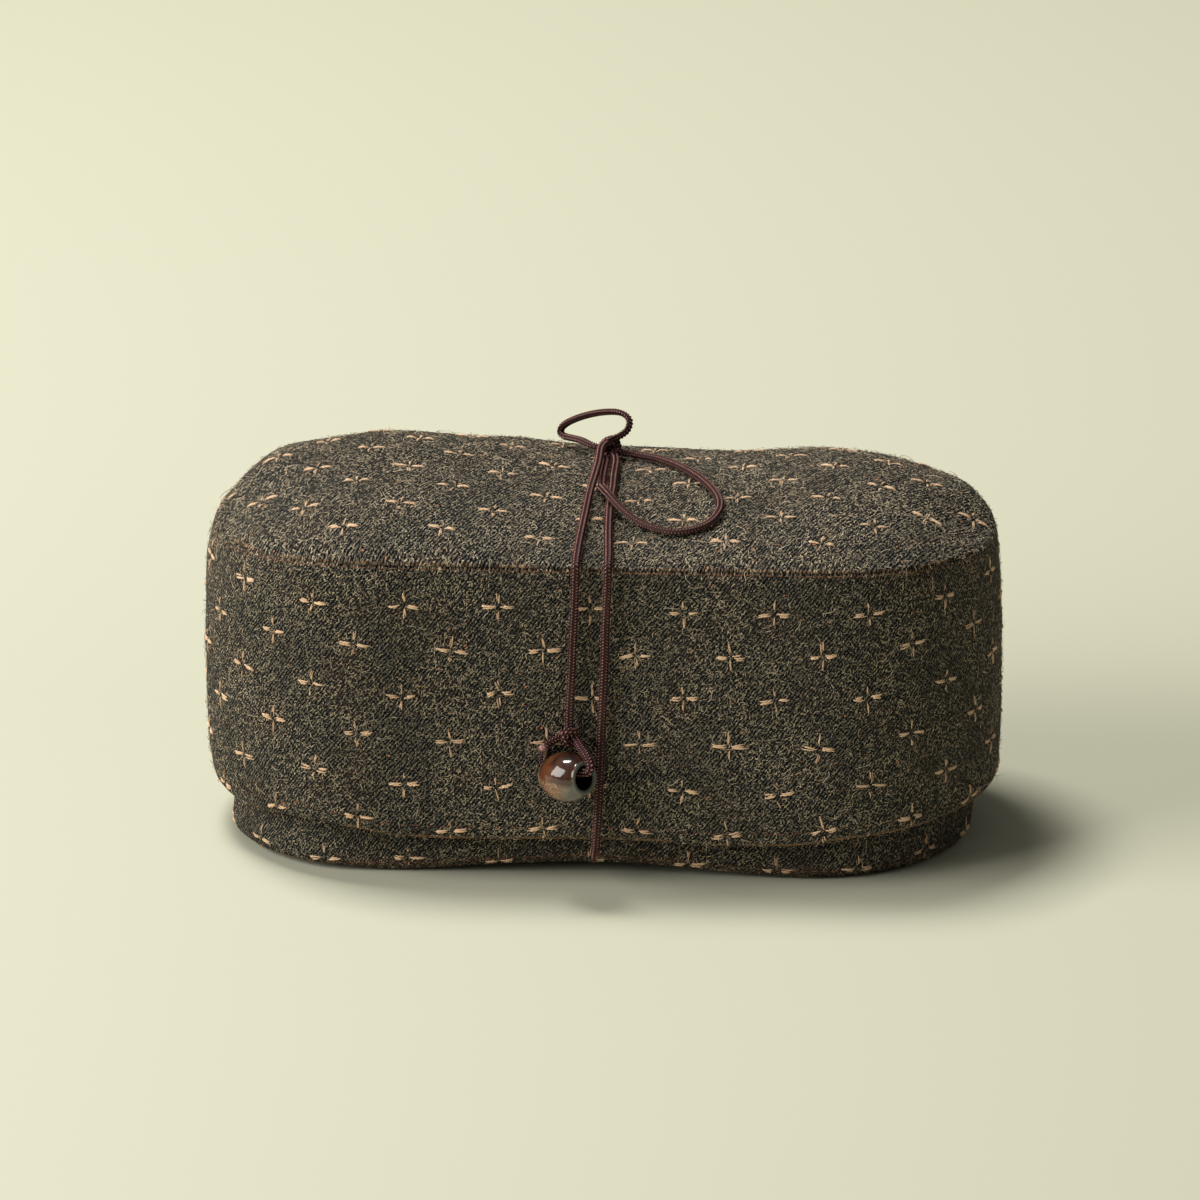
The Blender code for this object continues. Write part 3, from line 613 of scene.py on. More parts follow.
def make_base_bottom():
    """The bottom panel, drawn up in the middle by the cord."""
    def upper(x, y, share):
        return base_arch(x) + 0.0017 + 0 * y

    def lower(x, y, share):
        edge = np.interp(share, [0, 0.93, 0.97, 1.0], [0, 0, 0.0002, 0.0008])
        return base_arch(x) + edge + 0.0001 + 0.00008 * (1 + soft_noise(np.stack([x, y, 0 * x], -1), 0.012, 61))

    return panel("base_bottom", 0.0108, upper, lower, ((0.0106, 0.0004), (0.0106, 0.0008)), OUTWARD, 312, 0.15)


def plain_shape(x, y, height):
    """Heights as they are and no bulge."""
    return height + 0 * x, 0.0


def make_base_lining():
    """The inner cloth of the base: padded wall, floor, rim binding and the bottom seam's welt."""
    def wall_shape(x, y, height):
        share = np.clip((height - FLOOR_HEIGHT) / (RIM_HEIGHT - FLOOR_HEIGHT), 0, 1)
        return height + 0 * x, -0.0005 * np.clip(4 * share * (1 - share), 0, 1) ** 0.5

    wall = swept_shell("base_lining", smooth_profile(
        (0.0152, 0.0111, 0.0), (0.0159, 0.0111, 0.2), (0.0159, 0.0500, 1.0), (0.0158, 0.0884, 0.3),
        (0.0152, 0.0884, 0.0), spacing=0.003), 0.003, wall_shape, 71, lambda point: 0.0)
    floor = panel("base_floor", 0.0153,
                  lambda x, y, share: FLOOR_HEIGHT - 0.0002 + 0.0002 * np.sqrt(1 - share) + 0 * x,
                  lambda x, y, share: 0.0101 + 0 * x, ((0.0153, 0.0004),), PLAIN_OUTWARD, 208, 0.0)
    binding = swept_shell("base_rim", smooth_profile(
        (0.0091, 0.0862, 0.2), (0.0087, 0.0868, 0.3), (0.0087, 0.0880, 0.3), (0.0092, 0.0891, 0.3),
        (0.0104, 0.0897, 0.2), (0.0125, 0.0898, 0.2), (0.0145, 0.0897, 0.2), (0.0158, 0.0891, 0.3),
        (0.0163, 0.0880, 0.3), (0.0163, 0.0868, 0.3), (0.0158, 0.0862, 0.2), (0.0155, 0.0884, 0.0),
        (0.0125, 0.0888, 0.0), (0.0096, 0.0884, 0.0), spacing=0.0012),
        0.003, plain_shape, 81, lambda point: 0.25)
    return wall, floor, binding


def make_divider(name, offset):
    """A padded divider: a soft slab, thinner at its sewn ends and rounded along its crest."""
    rows = np.linspace(-0.0446, 0.0446, 60)
    turns = np.linspace(0, np.pi, 13)
    foot, crest, half = 0.0113, 0.0708, 0.0029
    section = [(half, foot + (crest - half - foot) * step / 30) for step in range(30)]
    section += [(half * math.cos(turn), crest - half + half * math.sin(turn)) for turn in turns]
    section += [(-half, foot + (crest - half - foot) * (30 - step) / 30) for step in range(1, 31)]
    section = np.array(section)
    thin = np.interp(np.abs(rows), [0, 0.038, 0.0425, 0.0446], [1, 1, 0.85, 0.45])
    grid = np.zeros((len(rows), len(section), 3))
    grid[..., 0] = offset + section[None, :, 0] * thin[:, None]
    grid[..., 1] = rows[:, None]
    grid[..., 2] = section[None, :, 1] - 0.0012 * (1 - thin[:, None]) * (section[None, :, 1] > 0.04)
    grid[..., 0] += np.sign(section[None, :, 0]) * 0.00025 * soft_noise(grid, 0.014, 91) * thin[:, None]
    uv = np.stack(np.broadcast_arrays(np.append(np.arange(len(section)), len(section))[None, :] * 0.002,
                                      np.append(rows, 0.046)[:, None]), -1)
    return grid_object(name, grid, capped=True, places=uv, marks={"wear": np.zeros(grid.shape[:2])})


# Thread, knots and bead

def threads(name, paths, sideways, upward, radii, tones, sides=6):
    """Many short round threads as one object, from the points and directions along each."""
    count, length = paths.shape[:2]
    turn = 2 * np.pi * np.arange(sides) / sides
    rings = paths[:, :, None] + radii[..., None, None] * (
        sideways[:, :, None] * np.cos(turn)[:, None] + upward[:, :, None] * np.sin(turn)[:, None])
    starts = np.arange(count) * length * sides
    quads = (starts[:, None, None] + grid_cells(length, sides)[2]).reshape(-1, 4)
    caps = []
    for first in starts:
        last = first + (length - 1) * sides
        caps += [np.arange(first, first + sides)[::-1], np.arange(last, last + sides)]
    marks = {"tone": np.broadcast_to(np.asarray(tones)[:, None, None], rings.shape[:3])}
    return mesh_object(name, rings.reshape(-1, 3), quads, caps, marks=marks)


def surface_of(piece):
    """A finder of places on a piece's surface."""
    mesh = piece.data
    corners = [vertex.co.copy() for vertex in mesh.vertices]
    return BVHTree.FromPolygons(corners, [tuple(face.vertices) for face in mesh.polygons])


# How far outside a thread's search for the cloth starts, and how far in it goes
LAND_FROM, LAND_REACH = 0.006, 0.02


def land(surface, points, outward):
    """Where each thread lands on the surface, the directions out of it there, and whether it all lies there."""
    places, normals = np.array(points, float), np.array(outward, float)
    met = np.zeros(places.shape[:-1], bool)
    for index, (point, out) in enumerate(zip(points.reshape(-1, 3), outward.reshape(-1, 3))):
        hit, normal, *_ = surface.ray_cast(Vector(point + out * LAND_FROM), Vector(-out), LAND_REACH)
        if hit is not None:
            places.reshape(-1, 3)[index] = hit
            normals.reshape(-1, 3)[index] = normal
            met.reshape(-1)[index] = True
    hops = np.linalg.norm(np.diff(places, axis=1), axis=-1)
    planned = np.linalg.norm(np.diff(points, axis=1), axis=-1)
    return places, normals, met.all(1) & (hops < 2.5 * planned + 0.0002).all(1)


def sew_crosses(name, surface, centres, across, upwards, outward, draw):
    """Hand-sewn crosses: four short bundles of twisted strands round an open middle."""
    steps = np.linspace(0, 1, 9)
    starts, ends, widths, tones = [], [], [], []
    for centre, along, up in zip(centres, across, upwards):
        lean = draw.normal(0, 0.07)
        tone = draw.uniform(0.80, 1.0)
        for heading, reach, level, turn in ((along, LEVEL_ARM, True, 1), (-along, LEVEL_ARM, True, -1),
                                            (up, UPRIGHT_ARM, False, -1), (-up, UPRIGHT_ARM, False, 1)):
            crosswise = up if level else along
            bend = turn * lean + draw.normal(0, 0.03)
            inner, outer = draw.uniform(0.0003, 0.0007), reach * draw.uniform(0.86, 1.08)
            strands = 3 if level else draw.integers(2, 4)
            for strand in range(3):
                rung = (strand - 1) * draw.uniform(0.00024, 0.00042) * (1.0 if level else 0.65)
                cut = draw.uniform(0.0, 0.0013, 2) if level else draw.uniform(0.0, 0.0020, 2)
                if strand < strands:
                    near, far = rung + draw.normal(0, 0.00012), bend * outer + rung + draw.normal(0, 0.00019)
                    starts.append(centre + heading * (inner + cut[0]) + crosswise * near)
                    ends.append(centre + heading * (outer - cut[1]) + crosswise * far)
                    widths.append(draw.uniform(0.00017, 0.00026) if level else draw.uniform(0.00013, 0.00021))
                    # Painted light: level arms get a brighter tone and upright arms a dimmer one, as light from
                    # above falls on them
                    tones.append(tone * (draw.uniform(0.80, 1.0) if level else draw.uniform(0.40, 0.95)))
    starts, ends, widths, tones = map(np.array, (starts, ends, widths, tones))
    straight = starts[:, None] + (ends - starts)[:, None] * steps[None, :, None]
    facing = np.repeat(outward_of(straight[:, 3], outward)[:, None], len(steps), 1)
    lying, normals, lies = land(surface, straight, facing)
    side = unit(np.cross(unit(ends - starts)[:, None], normals))
    paths, sides, rises, radii, shades = [], [], [], [], []
    for strand in range(2):
        phase = draw.uniform(0, 2 * np.pi, len(starts))[:, None] + np.pi * strand
        wind = phase + steps[None, :] * 2 * np.pi * STRAND_WINDS
        bow = np.sin(np.pi * np.clip(steps, 0, 1))[None, :] ** 0.3
        height = widths[:, None] * (2.0 * bow - 0.7 + 0.45 * np.sin(wind))
        path = lying + side * (widths[:, None] * 0.55 * np.cos(wind))[..., None] + normals * height[..., None]
        radius = widths[:, None] * (0.55 + 0.40 * np.sin(np.pi * steps)[None, :])
        for kept, values in zip((paths, sides, rises, radii, shades), (path, side, normals, radius, tones)):
            kept.append(values[lies])
    return threads(name, *map(np.concatenate, (paths, sides, rises, radii)), tones=np.concatenate(shades))


def outward_of(points, outward):
    """Directions out of the cloth at the points."""
    return np.array([outward(point) for point in points])


def plan_outward(point):
    """Outward direction of the case's wall at a point."""
    x, y = point[0], point[1]
    away = np.array([x - np.clip(x, -STRAIGHT, STRAIGHT), y - np.clip(y, -END_STRAIGHT, END_STRAIGHT), 0.0])
    return away / max(np.linalg.norm(away), 1e-9)


def faces_out(spot, out):
    """Whether a face looks out of the case's side."""
    away = plan_outward(spot)
    return out.x * away[0] + out.y * away[1] > 0.3


def straight_up(point):
    """Upward, for the crosses of the top."""
    return np.array([0.0, 0.0, 1.0])


# Crosses: steps round the walls, steps and rows on the top, the arms' reach, and how often a strand winds
CROSS_PITCH = 0.0276
TOP_PITCH, TOP_ROW = 0.0282, 0.0150
LEVEL_ARM, UPRIGHT_ARM = 0.0050, 0.0049
STRAND_WINDS = 2.6
# Heights of the walls' rows
SKIRT_ROWS = (0.0175, 0.0312, 0.0455, 0.0600, 0.0738, 0.0872)
BASE_ROWS = (0.0042, 0.0190, 0.0335, 0.0480, 0.0625, 0.0770)


def wall_crosses(name, piece, inset, rows, low_row, seed):
    """Crosses in staggered rows round a wall, up to the join at the middle of the back."""
    draw = np.random.default_rng(seed)
    centres, across, upwards = [], [], []
    for row, height in rows:
        for index in range(-11, 12):
            place = (index + 0.5 * (row % 2)) * CROSS_PITCH - 0.0004 + draw.normal(0, 0.0005)
            if abs(place) > GIRTH / 2 - 0.006:
                continue
            spot, out = plan(np.array([place]), np.array([inset]))
            rise = height + draw.normal(0, 0.0005) + (hem_rise(spot[:, 0], spot[:, 1])[0] * low_row(height))
            centres.append(np.array([spot[0, 0], spot[0, 1], rise]))
            across.append(np.array([-out[0, 1], out[0, 0], 0.0]))
            upwards.append(np.array([0.0, 0.0, 1.0]))
    return sew_crosses(name, surface_of(piece), centres, across, upwards, plan_outward, draw)


def top_crosses(name, piece, seed):
    """Crosses in staggered rows over the top, a little askew to its length."""
    draw = np.random.default_rng(seed)
    centres, across, upwards = [], [], []
    turn = math.radians(1.4)
    along = np.array([math.cos(turn), -math.sin(turn), 0.0])
    up = np.array([math.sin(turn), math.cos(turn), 0.0])
    for row in range(-4, 5):
        for column in range(-5, 6):
            place = along * ((column + 0.5 * (row % 2)) * TOP_PITCH - 0.0020) + up * (row * TOP_ROW - 0.0003)
            place = place + np.array([draw.normal(0, 0.0005), draw.normal(0, 0.0005), 0.0])
            away = np.hypot(max(abs(place[0]) - STRAIGHT, 0), max(abs(place[1]) - END_STRAIGHT, 0))
            if away < CORNER - 0.004:
                centres.append(np.array([place[0], place[1], 0.105]))
                across.append(along)
                upwards.append(up)
    return sew_crosses(name, surface_of(piece), centres, across, upwards, straight_up, draw)


def seam_stitches(name, piece, inset, height, outward_rise, spacing, length, radius, rise, seed):
    """A row of small stitches that follows the plan at a height."""
    draw = np.random.default_rng(seed)
    count = round(GIRTH / spacing)
    middle = (np.arange(count) + 0.5) * GIRTH / count
    steps = np.linspace(-0.5, 0.5, 5)
    places = middle[:, None] + steps[None, :] * length * draw.uniform(0.85, 1.1, count)[:, None]
    spot, out = plan(places, np.full(places.shape, inset))
    edge = plan(places, np.zeros(places.shape))[0]
    points = np.concatenate([spot, height(edge[..., 0], edge[..., 1])[..., None]], -1)
    direction = unit(np.concatenate([out, np.full((*out.shape[:2], 1), outward_rise)], -1))
    lying, normals, lies = land(surface_of(piece), points, direction)
    heading = unit(np.gradient(lying, axis=1))
    side = unit(np.cross(heading, normals))
    lying = lying + normals * (rise * np.cos(np.pi * steps * 0.98)[None, :] - 0.4 * radius)[..., None]
    radii = np.broadcast_to(radius * (0.6 + 0.4 * np.cos(np.pi * steps)), places.shape)
    return threads(name, lying[lies], side[lies], normals[lies], radii[lies],
                   tones=draw.uniform(0.3, 1.0, count)[lies])


LONG_FIBRES = 0.04  # share of the loose fibres that are long


def fuzz(name, piece, count, keep, seed):
    """Loose fibres that curl up out of a piece of cloth, most short and a few long."""
    draw = np.random.default_rng(seed)
    faces = [face for face in piece.data.polygons if keep(face.center, face.normal)]
    areas = np.array([face.area for face in faces])
    centres = np.array([face.center[:] for face in faces])
    areas = areas * np.clip(0.7 + 0.9 * soft_noise(centres, 0.014, seed), 0.12, None)
    chosen = draw.choice(len(faces), count, p=areas / areas.sum())
    centres = centres[chosen]
    normals = unit(np.array([faces[index].normal[:] for index in chosen]))
    first = unit(np.cross(normals, draw.normal(0, 1, (count, 3))))
    second = np.cross(normals, first)
    length = np.where(draw.random(count) < LONG_FIBRES, draw.uniform(0.0025, 0.0050, count),
                      draw.uniform(0.0005, 0.0016, count))
    lift = draw.uniform(0.10, 0.55, count) * np.minimum(length, 0.0022)
    curl, wave = draw.normal(0, 0.38, count), draw.normal(0, 0.09, count)
    steps = np.linspace(0, 1, 6)
    away = (draw.uniform(-0.5, 0.5, (count, 2)) * 0.0014)
    root = centres + first * away[:, :1] + second * away[:, 1:]
    bent = length[:, None] * (curl[:, None] * steps ** 2 + wave[:, None] * np.sin(steps * 6))
    raised = lift[:, None] * np.sin(steps * draw.uniform(1.6, 2.9, count)[:, None]) - 0.00008
    path = (root[:, None] + first[:, None] * (length[:, None] * steps)[..., None]
            + second[:, None] * bent[..., None] + normals[:, None] * raised[..., None])
    heading = unit(np.gradient(path, axis=1))
    side = unit(np.cross(heading, normals[:, None]))
    radii = draw.uniform(0.000050, 0.000115, count)[:, None] * (1 - 0.5 * steps)
    return threads(name, path, side, np.cross(side, heading), radii, sides=3, tones=draw.random(count) ** 1.2)


def frayed_tip(name, path, seed):
    """Cut strands that stand out of the cord's end."""
    draw = np.random.default_rng(seed)
    count = 26
    heading = unit(path[-1] - path[-12])
    first = unit(np.cross(heading, (0.0, 0.0, 1.0)))
    second = np.cross(heading, first)
    turn = draw.uniform(0, 2 * np.pi, count)
    out = first * np.cos(turn)[:, None] + second * np.sin(turn)[:, None]
    reach, length = draw.uniform(0.1, 1.0, count)[:, None], draw.uniform(0.0006, 0.0012, count)[:, None]
    steps = np.linspace(0, 1, 5)[None, :, None]
    root = path[-1] - heading * 0.0005 + out * CORD_THICKNESS / 2 * reach * 0.8
    lines = (root[:, None] + heading * (length[:, None] * steps)
             + out[:, None] * (length * reach)[:, None] * 0.35 * steps ** 1.6)
    run = unit(np.gradient(lines, axis=1))
    side = unit(np.cross(run, second))
    radii = draw.uniform(0.00010, 0.00016, count)[:, None] * (1 - 0.35 * np.linspace(0, 1, 5))
    return threads(name, lines, side, np.cross(side, run), radii, sides=5, tones=draw.uniform(0.4, 1.0, count))


def turned_knot(name, turns):
    """A knot of closed cord turns, each an ellipse that lies on its own tilt."""
    points, quads, crests, offset = [], [], [], 0
    for centre, first, second, reach, height in turns:
        turn = np.linspace(0, 2 * np.pi, 97)[:-1]
        first, second = np.array(first, float), np.array(second, float)
        lift = np.cross(unit(first), unit(second))
        path = (np.array(centre) + first * np.cos(turn)[:, None] * reach
                + second * np.sin(turn)[:, None] * reach + lift * (height * np.sin(2 * turn))[:, None])
        heading = unit(np.roll(path, -1, 0) - np.roll(path, 1, 0))
        side = unit(np.cross(heading, lift))
        rise = np.cross(heading, side)
        around = np.arange(BRAID_SIDES)[None, :] / BRAID_SIDES
        beats = max(1, round(2 * np.pi * reach / BRAID_PITCH))
        crest = braid_crest(around, np.arange(len(path))[:, None] * beats * BRAID_PITCH / len(path))
        radius = CORD_DIAMETER / 2 * 0.97 - BRAID_RELIEF * (1 - crest)
        bend = 2 * np.pi * around[..., None]
        ring = (path[:, None] + radius[..., None] * (side[:, None] * np.cos(bend)
                                                     + rise[:, None] * np.sin(bend))).reshape(-1, 3)
        cells = grid_cells(*crest.shape, loop_rows=True)[2]
        quads.append(offset + (cells[:, ::-1] if signed_volume(ring, cells) < 0 else cells))
        points.append(ring)
        crests.append(crest.ravel())
        offset += len(ring)
    return mesh_object(name, np.concatenate(points), np.concatenate(quads),
                       marks={"crest": np.concatenate(crests)})


def make_bead():
    """The round bead: a barrel with rolled lips round its wide bore."""
    half, radius, bore, mouth = 0.0072, 0.0075, 0.00365, 0.0048
    bend = math.sqrt(1 - (mouth / radius) ** 2)
    lip = ((0.990, 0.00508, 0.5), (1.012, 0.00485, 0.5), (1.018, 0.00440, 0.5), (1.000, 0.00395, 0.5),
           (0.960, 0.00370, 0.6), (0.90, bore, 1.0))
    profile = [(along * half, radius * math.sqrt(1 - (along * bend) ** 2), 0.0)
               for along in np.linspace(-0.97, 0.97, 25)]
    profile += [(along * half, reach, mark) for along, reach, mark in lip]
    profile += [(along * half, bore, 1.0) for along in np.linspace(0.84, -0.84, 9)]
    profile += [(-along * half, reach, mark) for along, reach, mark in lip[::-1]]
    profile = np.array(profile)
    turn = np.arange(64) * 2 * np.pi / 64
    grid = np.stack(np.broadcast_arrays(profile[:, :1], profile[:, 1:2] * np.cos(turn),
                                        profile[:, 1:2] * np.sin(turn)), -1)
    grid = grid * (1 + 0.012 * soft_noise(grid, 0.006, 5))[..., None]
    yaw, tilt = math.radians(-40), math.radians(10)
    axis = np.array([math.cos(yaw) * math.cos(tilt), math.sin(yaw) * math.cos(tilt), math.sin(tilt)])
    side = np.array([-math.sin(yaw), math.cos(yaw), 0.0])
    points = grid[..., :1] * axis + grid[..., 1:2] * side + grid[..., 2:] * np.cross(axis, side)
    return grid_object("glazed_bead", points + np.array(BEAD_CENTRE), loop_rows=True,
                       marks={"bore": profile[:, 2:] * np.ones(64)})


# Materials

class Net:
    """The nodes of one material or node group. An input can be a value or another node's output."""

    def __init__(self, tree):
        self.tree = tree

    def give(self, socket, value):
        """Set a socket's value, or link it where the value is another node's output."""
        if isinstance(value, bpy.types.NodeSocket):
            self.tree.links.new(value, socket)
        else:
            socket.default_value = value

    def add(self, kind, inputs=None, **settings):
        """A node with its settings and inputs."""
        made = self.tree.nodes.new("ShaderNode" + kind)
        for key, value in settings.items():
            setattr(made, key, value)
        for key, value in (inputs or {}).items():
            self.give(made.inputs[key], value)
        return made

    def sums(self, operation, first, second=0.5):
        """The result of one sum on values."""
        return self.add("Math", {0: first, 1: second}, operation=operation).outputs[0]

    def times(self, product, *others):
        """The product of values."""
        for other in others:
            product = self.sums("MULTIPLY", product, other)
        return product

    def vector(self, operation, first, other):
        """The result of one sum on vectors, or of scaling a vector."""
        second = "Scale" if operation == "SCALE" else 1
        return self.add("VectorMath", {0: first, second: other}, operation=operation).outputs[0]

    def turned(self, vector, angle):
        """A vector turned about Z."""
        return self.add("VectorRotate", {"Vector": vector, "Angle": angle}, rotation_type="Z_AXIS").outputs[0]

    def split(self, vector):
        """The three parts of a vector or colour."""
        return self.add("SeparateXYZ", {"Vector": vector}).outputs

    def between(self, value, low, high, to_low=0.0, to_high=1.0):
        """A value's range from low to high, stretched to another and held at its ends."""
        return self.add("MapRange", {"Value": value, "From Min": low, "From Max": high,
                                     "To Min": to_low, "To Max": to_high}).outputs["Result"]

    def blend(self, share, first, second):
        """The first colour where share is 0 and the second where it is 1."""
        mix = self.add("Mix", data_type="RGBA")
        for place, value in ((0, share), (6, first), (7, second)):
            self.give(mix.inputs[place], (*value, 1) if isinstance(value, tuple) else value)
        return mix.outputs[2]

    def noise(self, place, scale, detail=2.0, roughness=0.5, output="Fac"):
        """Noise at a place, as a value or a colour."""
        return self.add("TexNoise", {"Vector": place, "Scale": scale, "Detail": detail,
                                     "Roughness": roughness}).outputs[output]

    def mark(self, name):
        """A value that the mesh carries at its points."""
        return self.add("Attribute", attribute_name=name).outputs["Fac"]

    def spot(self):
        """The place on the piece."""
        return self.add("TexCoord").outputs["Object"]

    def weave(self):
        """The place on the flat cloth."""
        return self.add("UVMap", uv_map="weave").outputs["UV"]


def new_material(name):
    """A material and its nodes."""
    material = bpy.data.materials.new(name)
    material.use_nodes = True
    return material, Net(material.node_tree)


def set_surface(net, colour, roughness, gloss, height, strength, depth):
    """Give a material's shader its colour, sheen and fine relief."""
    shader = net.tree.nodes["Principled BSDF"].inputs
    relieved = net.add("Bump", {"Strength": strength, "Distance": depth, "Height": height}).outputs["Normal"]
    for key, value in (("Base Color", colour), ("Roughness", roughness), ("Specular IOR Level", gloss),
                       ("Normal", relieved)):
        net.give(shader[key], value)
    return shader, relieved


def group(name, vectors, values, results):
    """The net, inputs and outputs of a new node group, from the names of its sockets."""
    tree = bpy.data.node_groups.new(name, "ShaderNodeTree")
    for labels, way, kind in ((vectors, "INPUT", "Vector"), (values, "INPUT", "Float"),
                              (results, "OUTPUT", "Float")):
        for label in labels:
            tree.interface.new_socket(label, in_out=way, socket_type="NodeSocket" + kind)
    return Net(tree), tree.nodes.new("NodeGroupInput").outputs, tree.nodes.new("NodeGroupOutput").inputs


def make_loose_fibres():
    """Group: one layer of short, slightly bent fibres, spread about one direction."""
    net, given, result = group("loose_fibres", ("Place", "Shift"), ("Cell", "Width", "Lean", "Spread"),
                               ("Fibres", "Tone"))
    per_cell = net.sums("DIVIDE", 1.0, given["Cell"])
    moved = net.vector("ADD", net.vector("SCALE", given["Place"], per_cell), given["Shift"])
    cells = net.add("TexVoronoi", {"Vector": moved, "Scale": 1.0}, voronoi_dimensions="2D").outputs
    offset = net.vector("SUBTRACT", moved, cells["Position"])
    chance = net.split(cells["Color"])
    swing = net.times(net.sums("SUBTRACT", chance[0], 0.5), given["Spread"])
    parts = net.split(net.turned(offset, net.sums("ADD", swing, given["Lean"])))
    bow = net.times(net.sums("SUBTRACT", chance[1], 0.5), 1.8)
    across = net.sums("ABSOLUTE", net.sums("SUBTRACT", parts[1], net.times(parts[0], parts[0], bow)))
    mask = net.between(across, given["Width"], net.times(given["Width"], 0.35))
    reach = net.between(net.sums("ABSOLUTE", parts[0]), 0.48, 0.32)
    net.give(result["Fibres"], net.times(mask, reach))
    net.give(result["Tone"], net.times(chance[2], chance[2]))
    return net.tree


# Layers of fibres: cell, shift, width in cells, lean and spread in radians
FIBRE_LAYERS = ((0.00085, 0.0, 0.180, -0.9, 1.4), (0.00120, 8.1, 0.115, 0.0, 6.3),
                (0.00095, 12.9, 0.160, -0.7, 3.0), (0.00200, 17.3, 0.065, 0.0, 6.3))
RIB_WIDTH, RIB_STEP, RIB_TURN = 0.00095, 0.0013, math.radians(-52)


def make_felted_weave():
    """Group: the slanting ribs of a felted twill, the pale fibres that cover it and its rust flecks."""
    net, given, result = group("felted_weave", ("Place",), (),
                               ("Height", "Ground", "Fibres", "Flecks", "Heather"))
    place = given["Place"]
    wander = net.vector("SUBTRACT", net.noise(place, 330.0, output="Color"), (0.5, 0.5, 0.5))
    loose = net.vector("ADD", place, net.vector("SCALE", wander, 0.0016))
    parts = net.split(net.turned(loose, RIB_TURN))
    rib, step = (net.sums("ABSOLUTE", net.sums("SINE", net.times(part, math.pi / width)))
                 for part, width in ((parts[1], RIB_WIDTH), (parts[0], RIB_STEP)))
    twill = net.times(rib, net.between(step, 0.0, 0.5, 0.45, 1.0))
    nap = net.between(net.noise(place, 2300.0, 1.0, 0.6), 0.36, 0.66)
    patches = net.between(net.noise(place, 38.0, 3.0, 0.6), 0.38, 0.60, 0.35, 1.0)
    strands, fibres = make_loose_fibres(), 0.0
    for cell, shift, width, lean, spread in FIBRE_LAYERS:
        layer = net.add("Group", node_tree=strands)
        for label, value in (("Place", place), ("Shift", (shift, shift * 1.7, 0)), ("Cell", cell),
                             ("Width", width), ("Lean", lean), ("Spread", spread)):
            net.give(layer.inputs[label], value)
        shown = net.times(layer.outputs["Fibres"], net.between(layer.outputs["Tone"], 0.38, 0.90))
        fibres = net.sums("MAXIMUM", fibres, shown)
    fibres = net.times(fibres, net.between(twill, 0.1, 0.7, 0.65, 1.0), patches)
    spots = net.add("TexVoronoi", {"Vector": loose, "Scale": 400.0, "Randomness": 1.0}).outputs
    pick = net.split(spots["Color"])
    size = net.sums("ADD", net.times(pick[1], 0.13), net.times(nap, 0.05))
    flecks = net.times(net.sums("LESS_THAN", spots["Distance"], size), net.sums("GREATER_THAN", pick[0], 0.60))
    ground = net.sums("ADD", net.times(twill, 0.55), net.times(nap, 0.45))
    height = net.sums("ADD", net.times(ground, 0.7), net.times(fibres, 0.45))
    for label, value in (("Height", height), ("Ground", ground), ("Fibres", fibres), ("Flecks", flecks),
                         ("Heather", net.noise(place, 55.0, 4.0))):
        net.give(result[label], value)
    return net.tree


def cloth_finish():
    """The charcoal brown outer cloth, rubbed rusty where its mark says so."""
    material, net = new_material("felted_cloth")
    felt = net.add("Group", node_tree=make_felted_weave())
    net.give(felt.inputs["Place"], net.weave())
    felt = felt.outputs
    shade = net.sums("POWER", net.between(felt["Ground"], 0.25, 0.95), 2.4)
    colour = net.blend(shade, (0.0012, 0.0015, 0.0017), (0.215, 0.212, 0.185))
    colour = net.blend(net.times(net.between(felt["Heather"], 0.48, 0.72), 0.35), colour, (0.045, 0.028, 0.018))
    colour = net.blend(felt["Fibres"], colour, (1.0, 0.82, 0.56))
    colour = net.blend(net.times(felt["Flecks"], 0.8), colour, (0.62, 0.27, 0.12))
    rubbed = net.times(net.mark("wear"), net.between(felt["Heather"], 0.42, 0.56),
                       net.between(felt["Height"], 0.15, 0.5, 0.1, 0.9))
    colour = net.blend(rubbed, colour, (0.60, 0.34, 0.18))
    set_surface(net, colour, 0.95, 0.05, felt["Height"], 1.0, 0.0006)
    return material


def lining_finish():
    """The plain inner cloth, whose yarns go over and under each other."""
    material, net = new_material("plain_lining")
    place = net.weave()
    parts = net.split(net.vector("SCALE", place, math.pi / 0.00055))
    warp, weft = net.sums("SINE", parts[0]), net.sums("SINE", parts[1])
    yarns = net.times(net.sums("MAXIMUM", net.sums("ABSOLUTE", warp), net.sums("ABSOLUTE", weft)),
                      net.between(net.times(warp, weft), -0.6, 0.6, 0.4, 1.0))
    slub = net.between(net.noise(place, 70.0, 4.0), 0.35, 0.7)
    colour = net.blend(net.between(yarns, 0.2, 0.95), (0.15, 0.115, 0.075), (0.30, 0.245, 0.17))
    colour = net.blend(net.times(slub, 0.4), colour, (0.20, 0.16, 0.11))
    set_surface(net, colour, 0.85, 0.3, yarns, 0.5, 0.0002)
    return material


def thread_finish(name, dark, pale):
    """Thread whose strands go from dark to pale by their tone."""
    material, net = new_material(name)
    strand = net.noise(net.spot(), 2600.0)
    share = net.times(net.mark("tone"), net.between(strand, 0.3, 0.55, 0.7, 1.05))
    set_surface(net, net.blend(share, dark, pale), 0.8, 0.3, strand, 0.5, 0.0001)
    return material


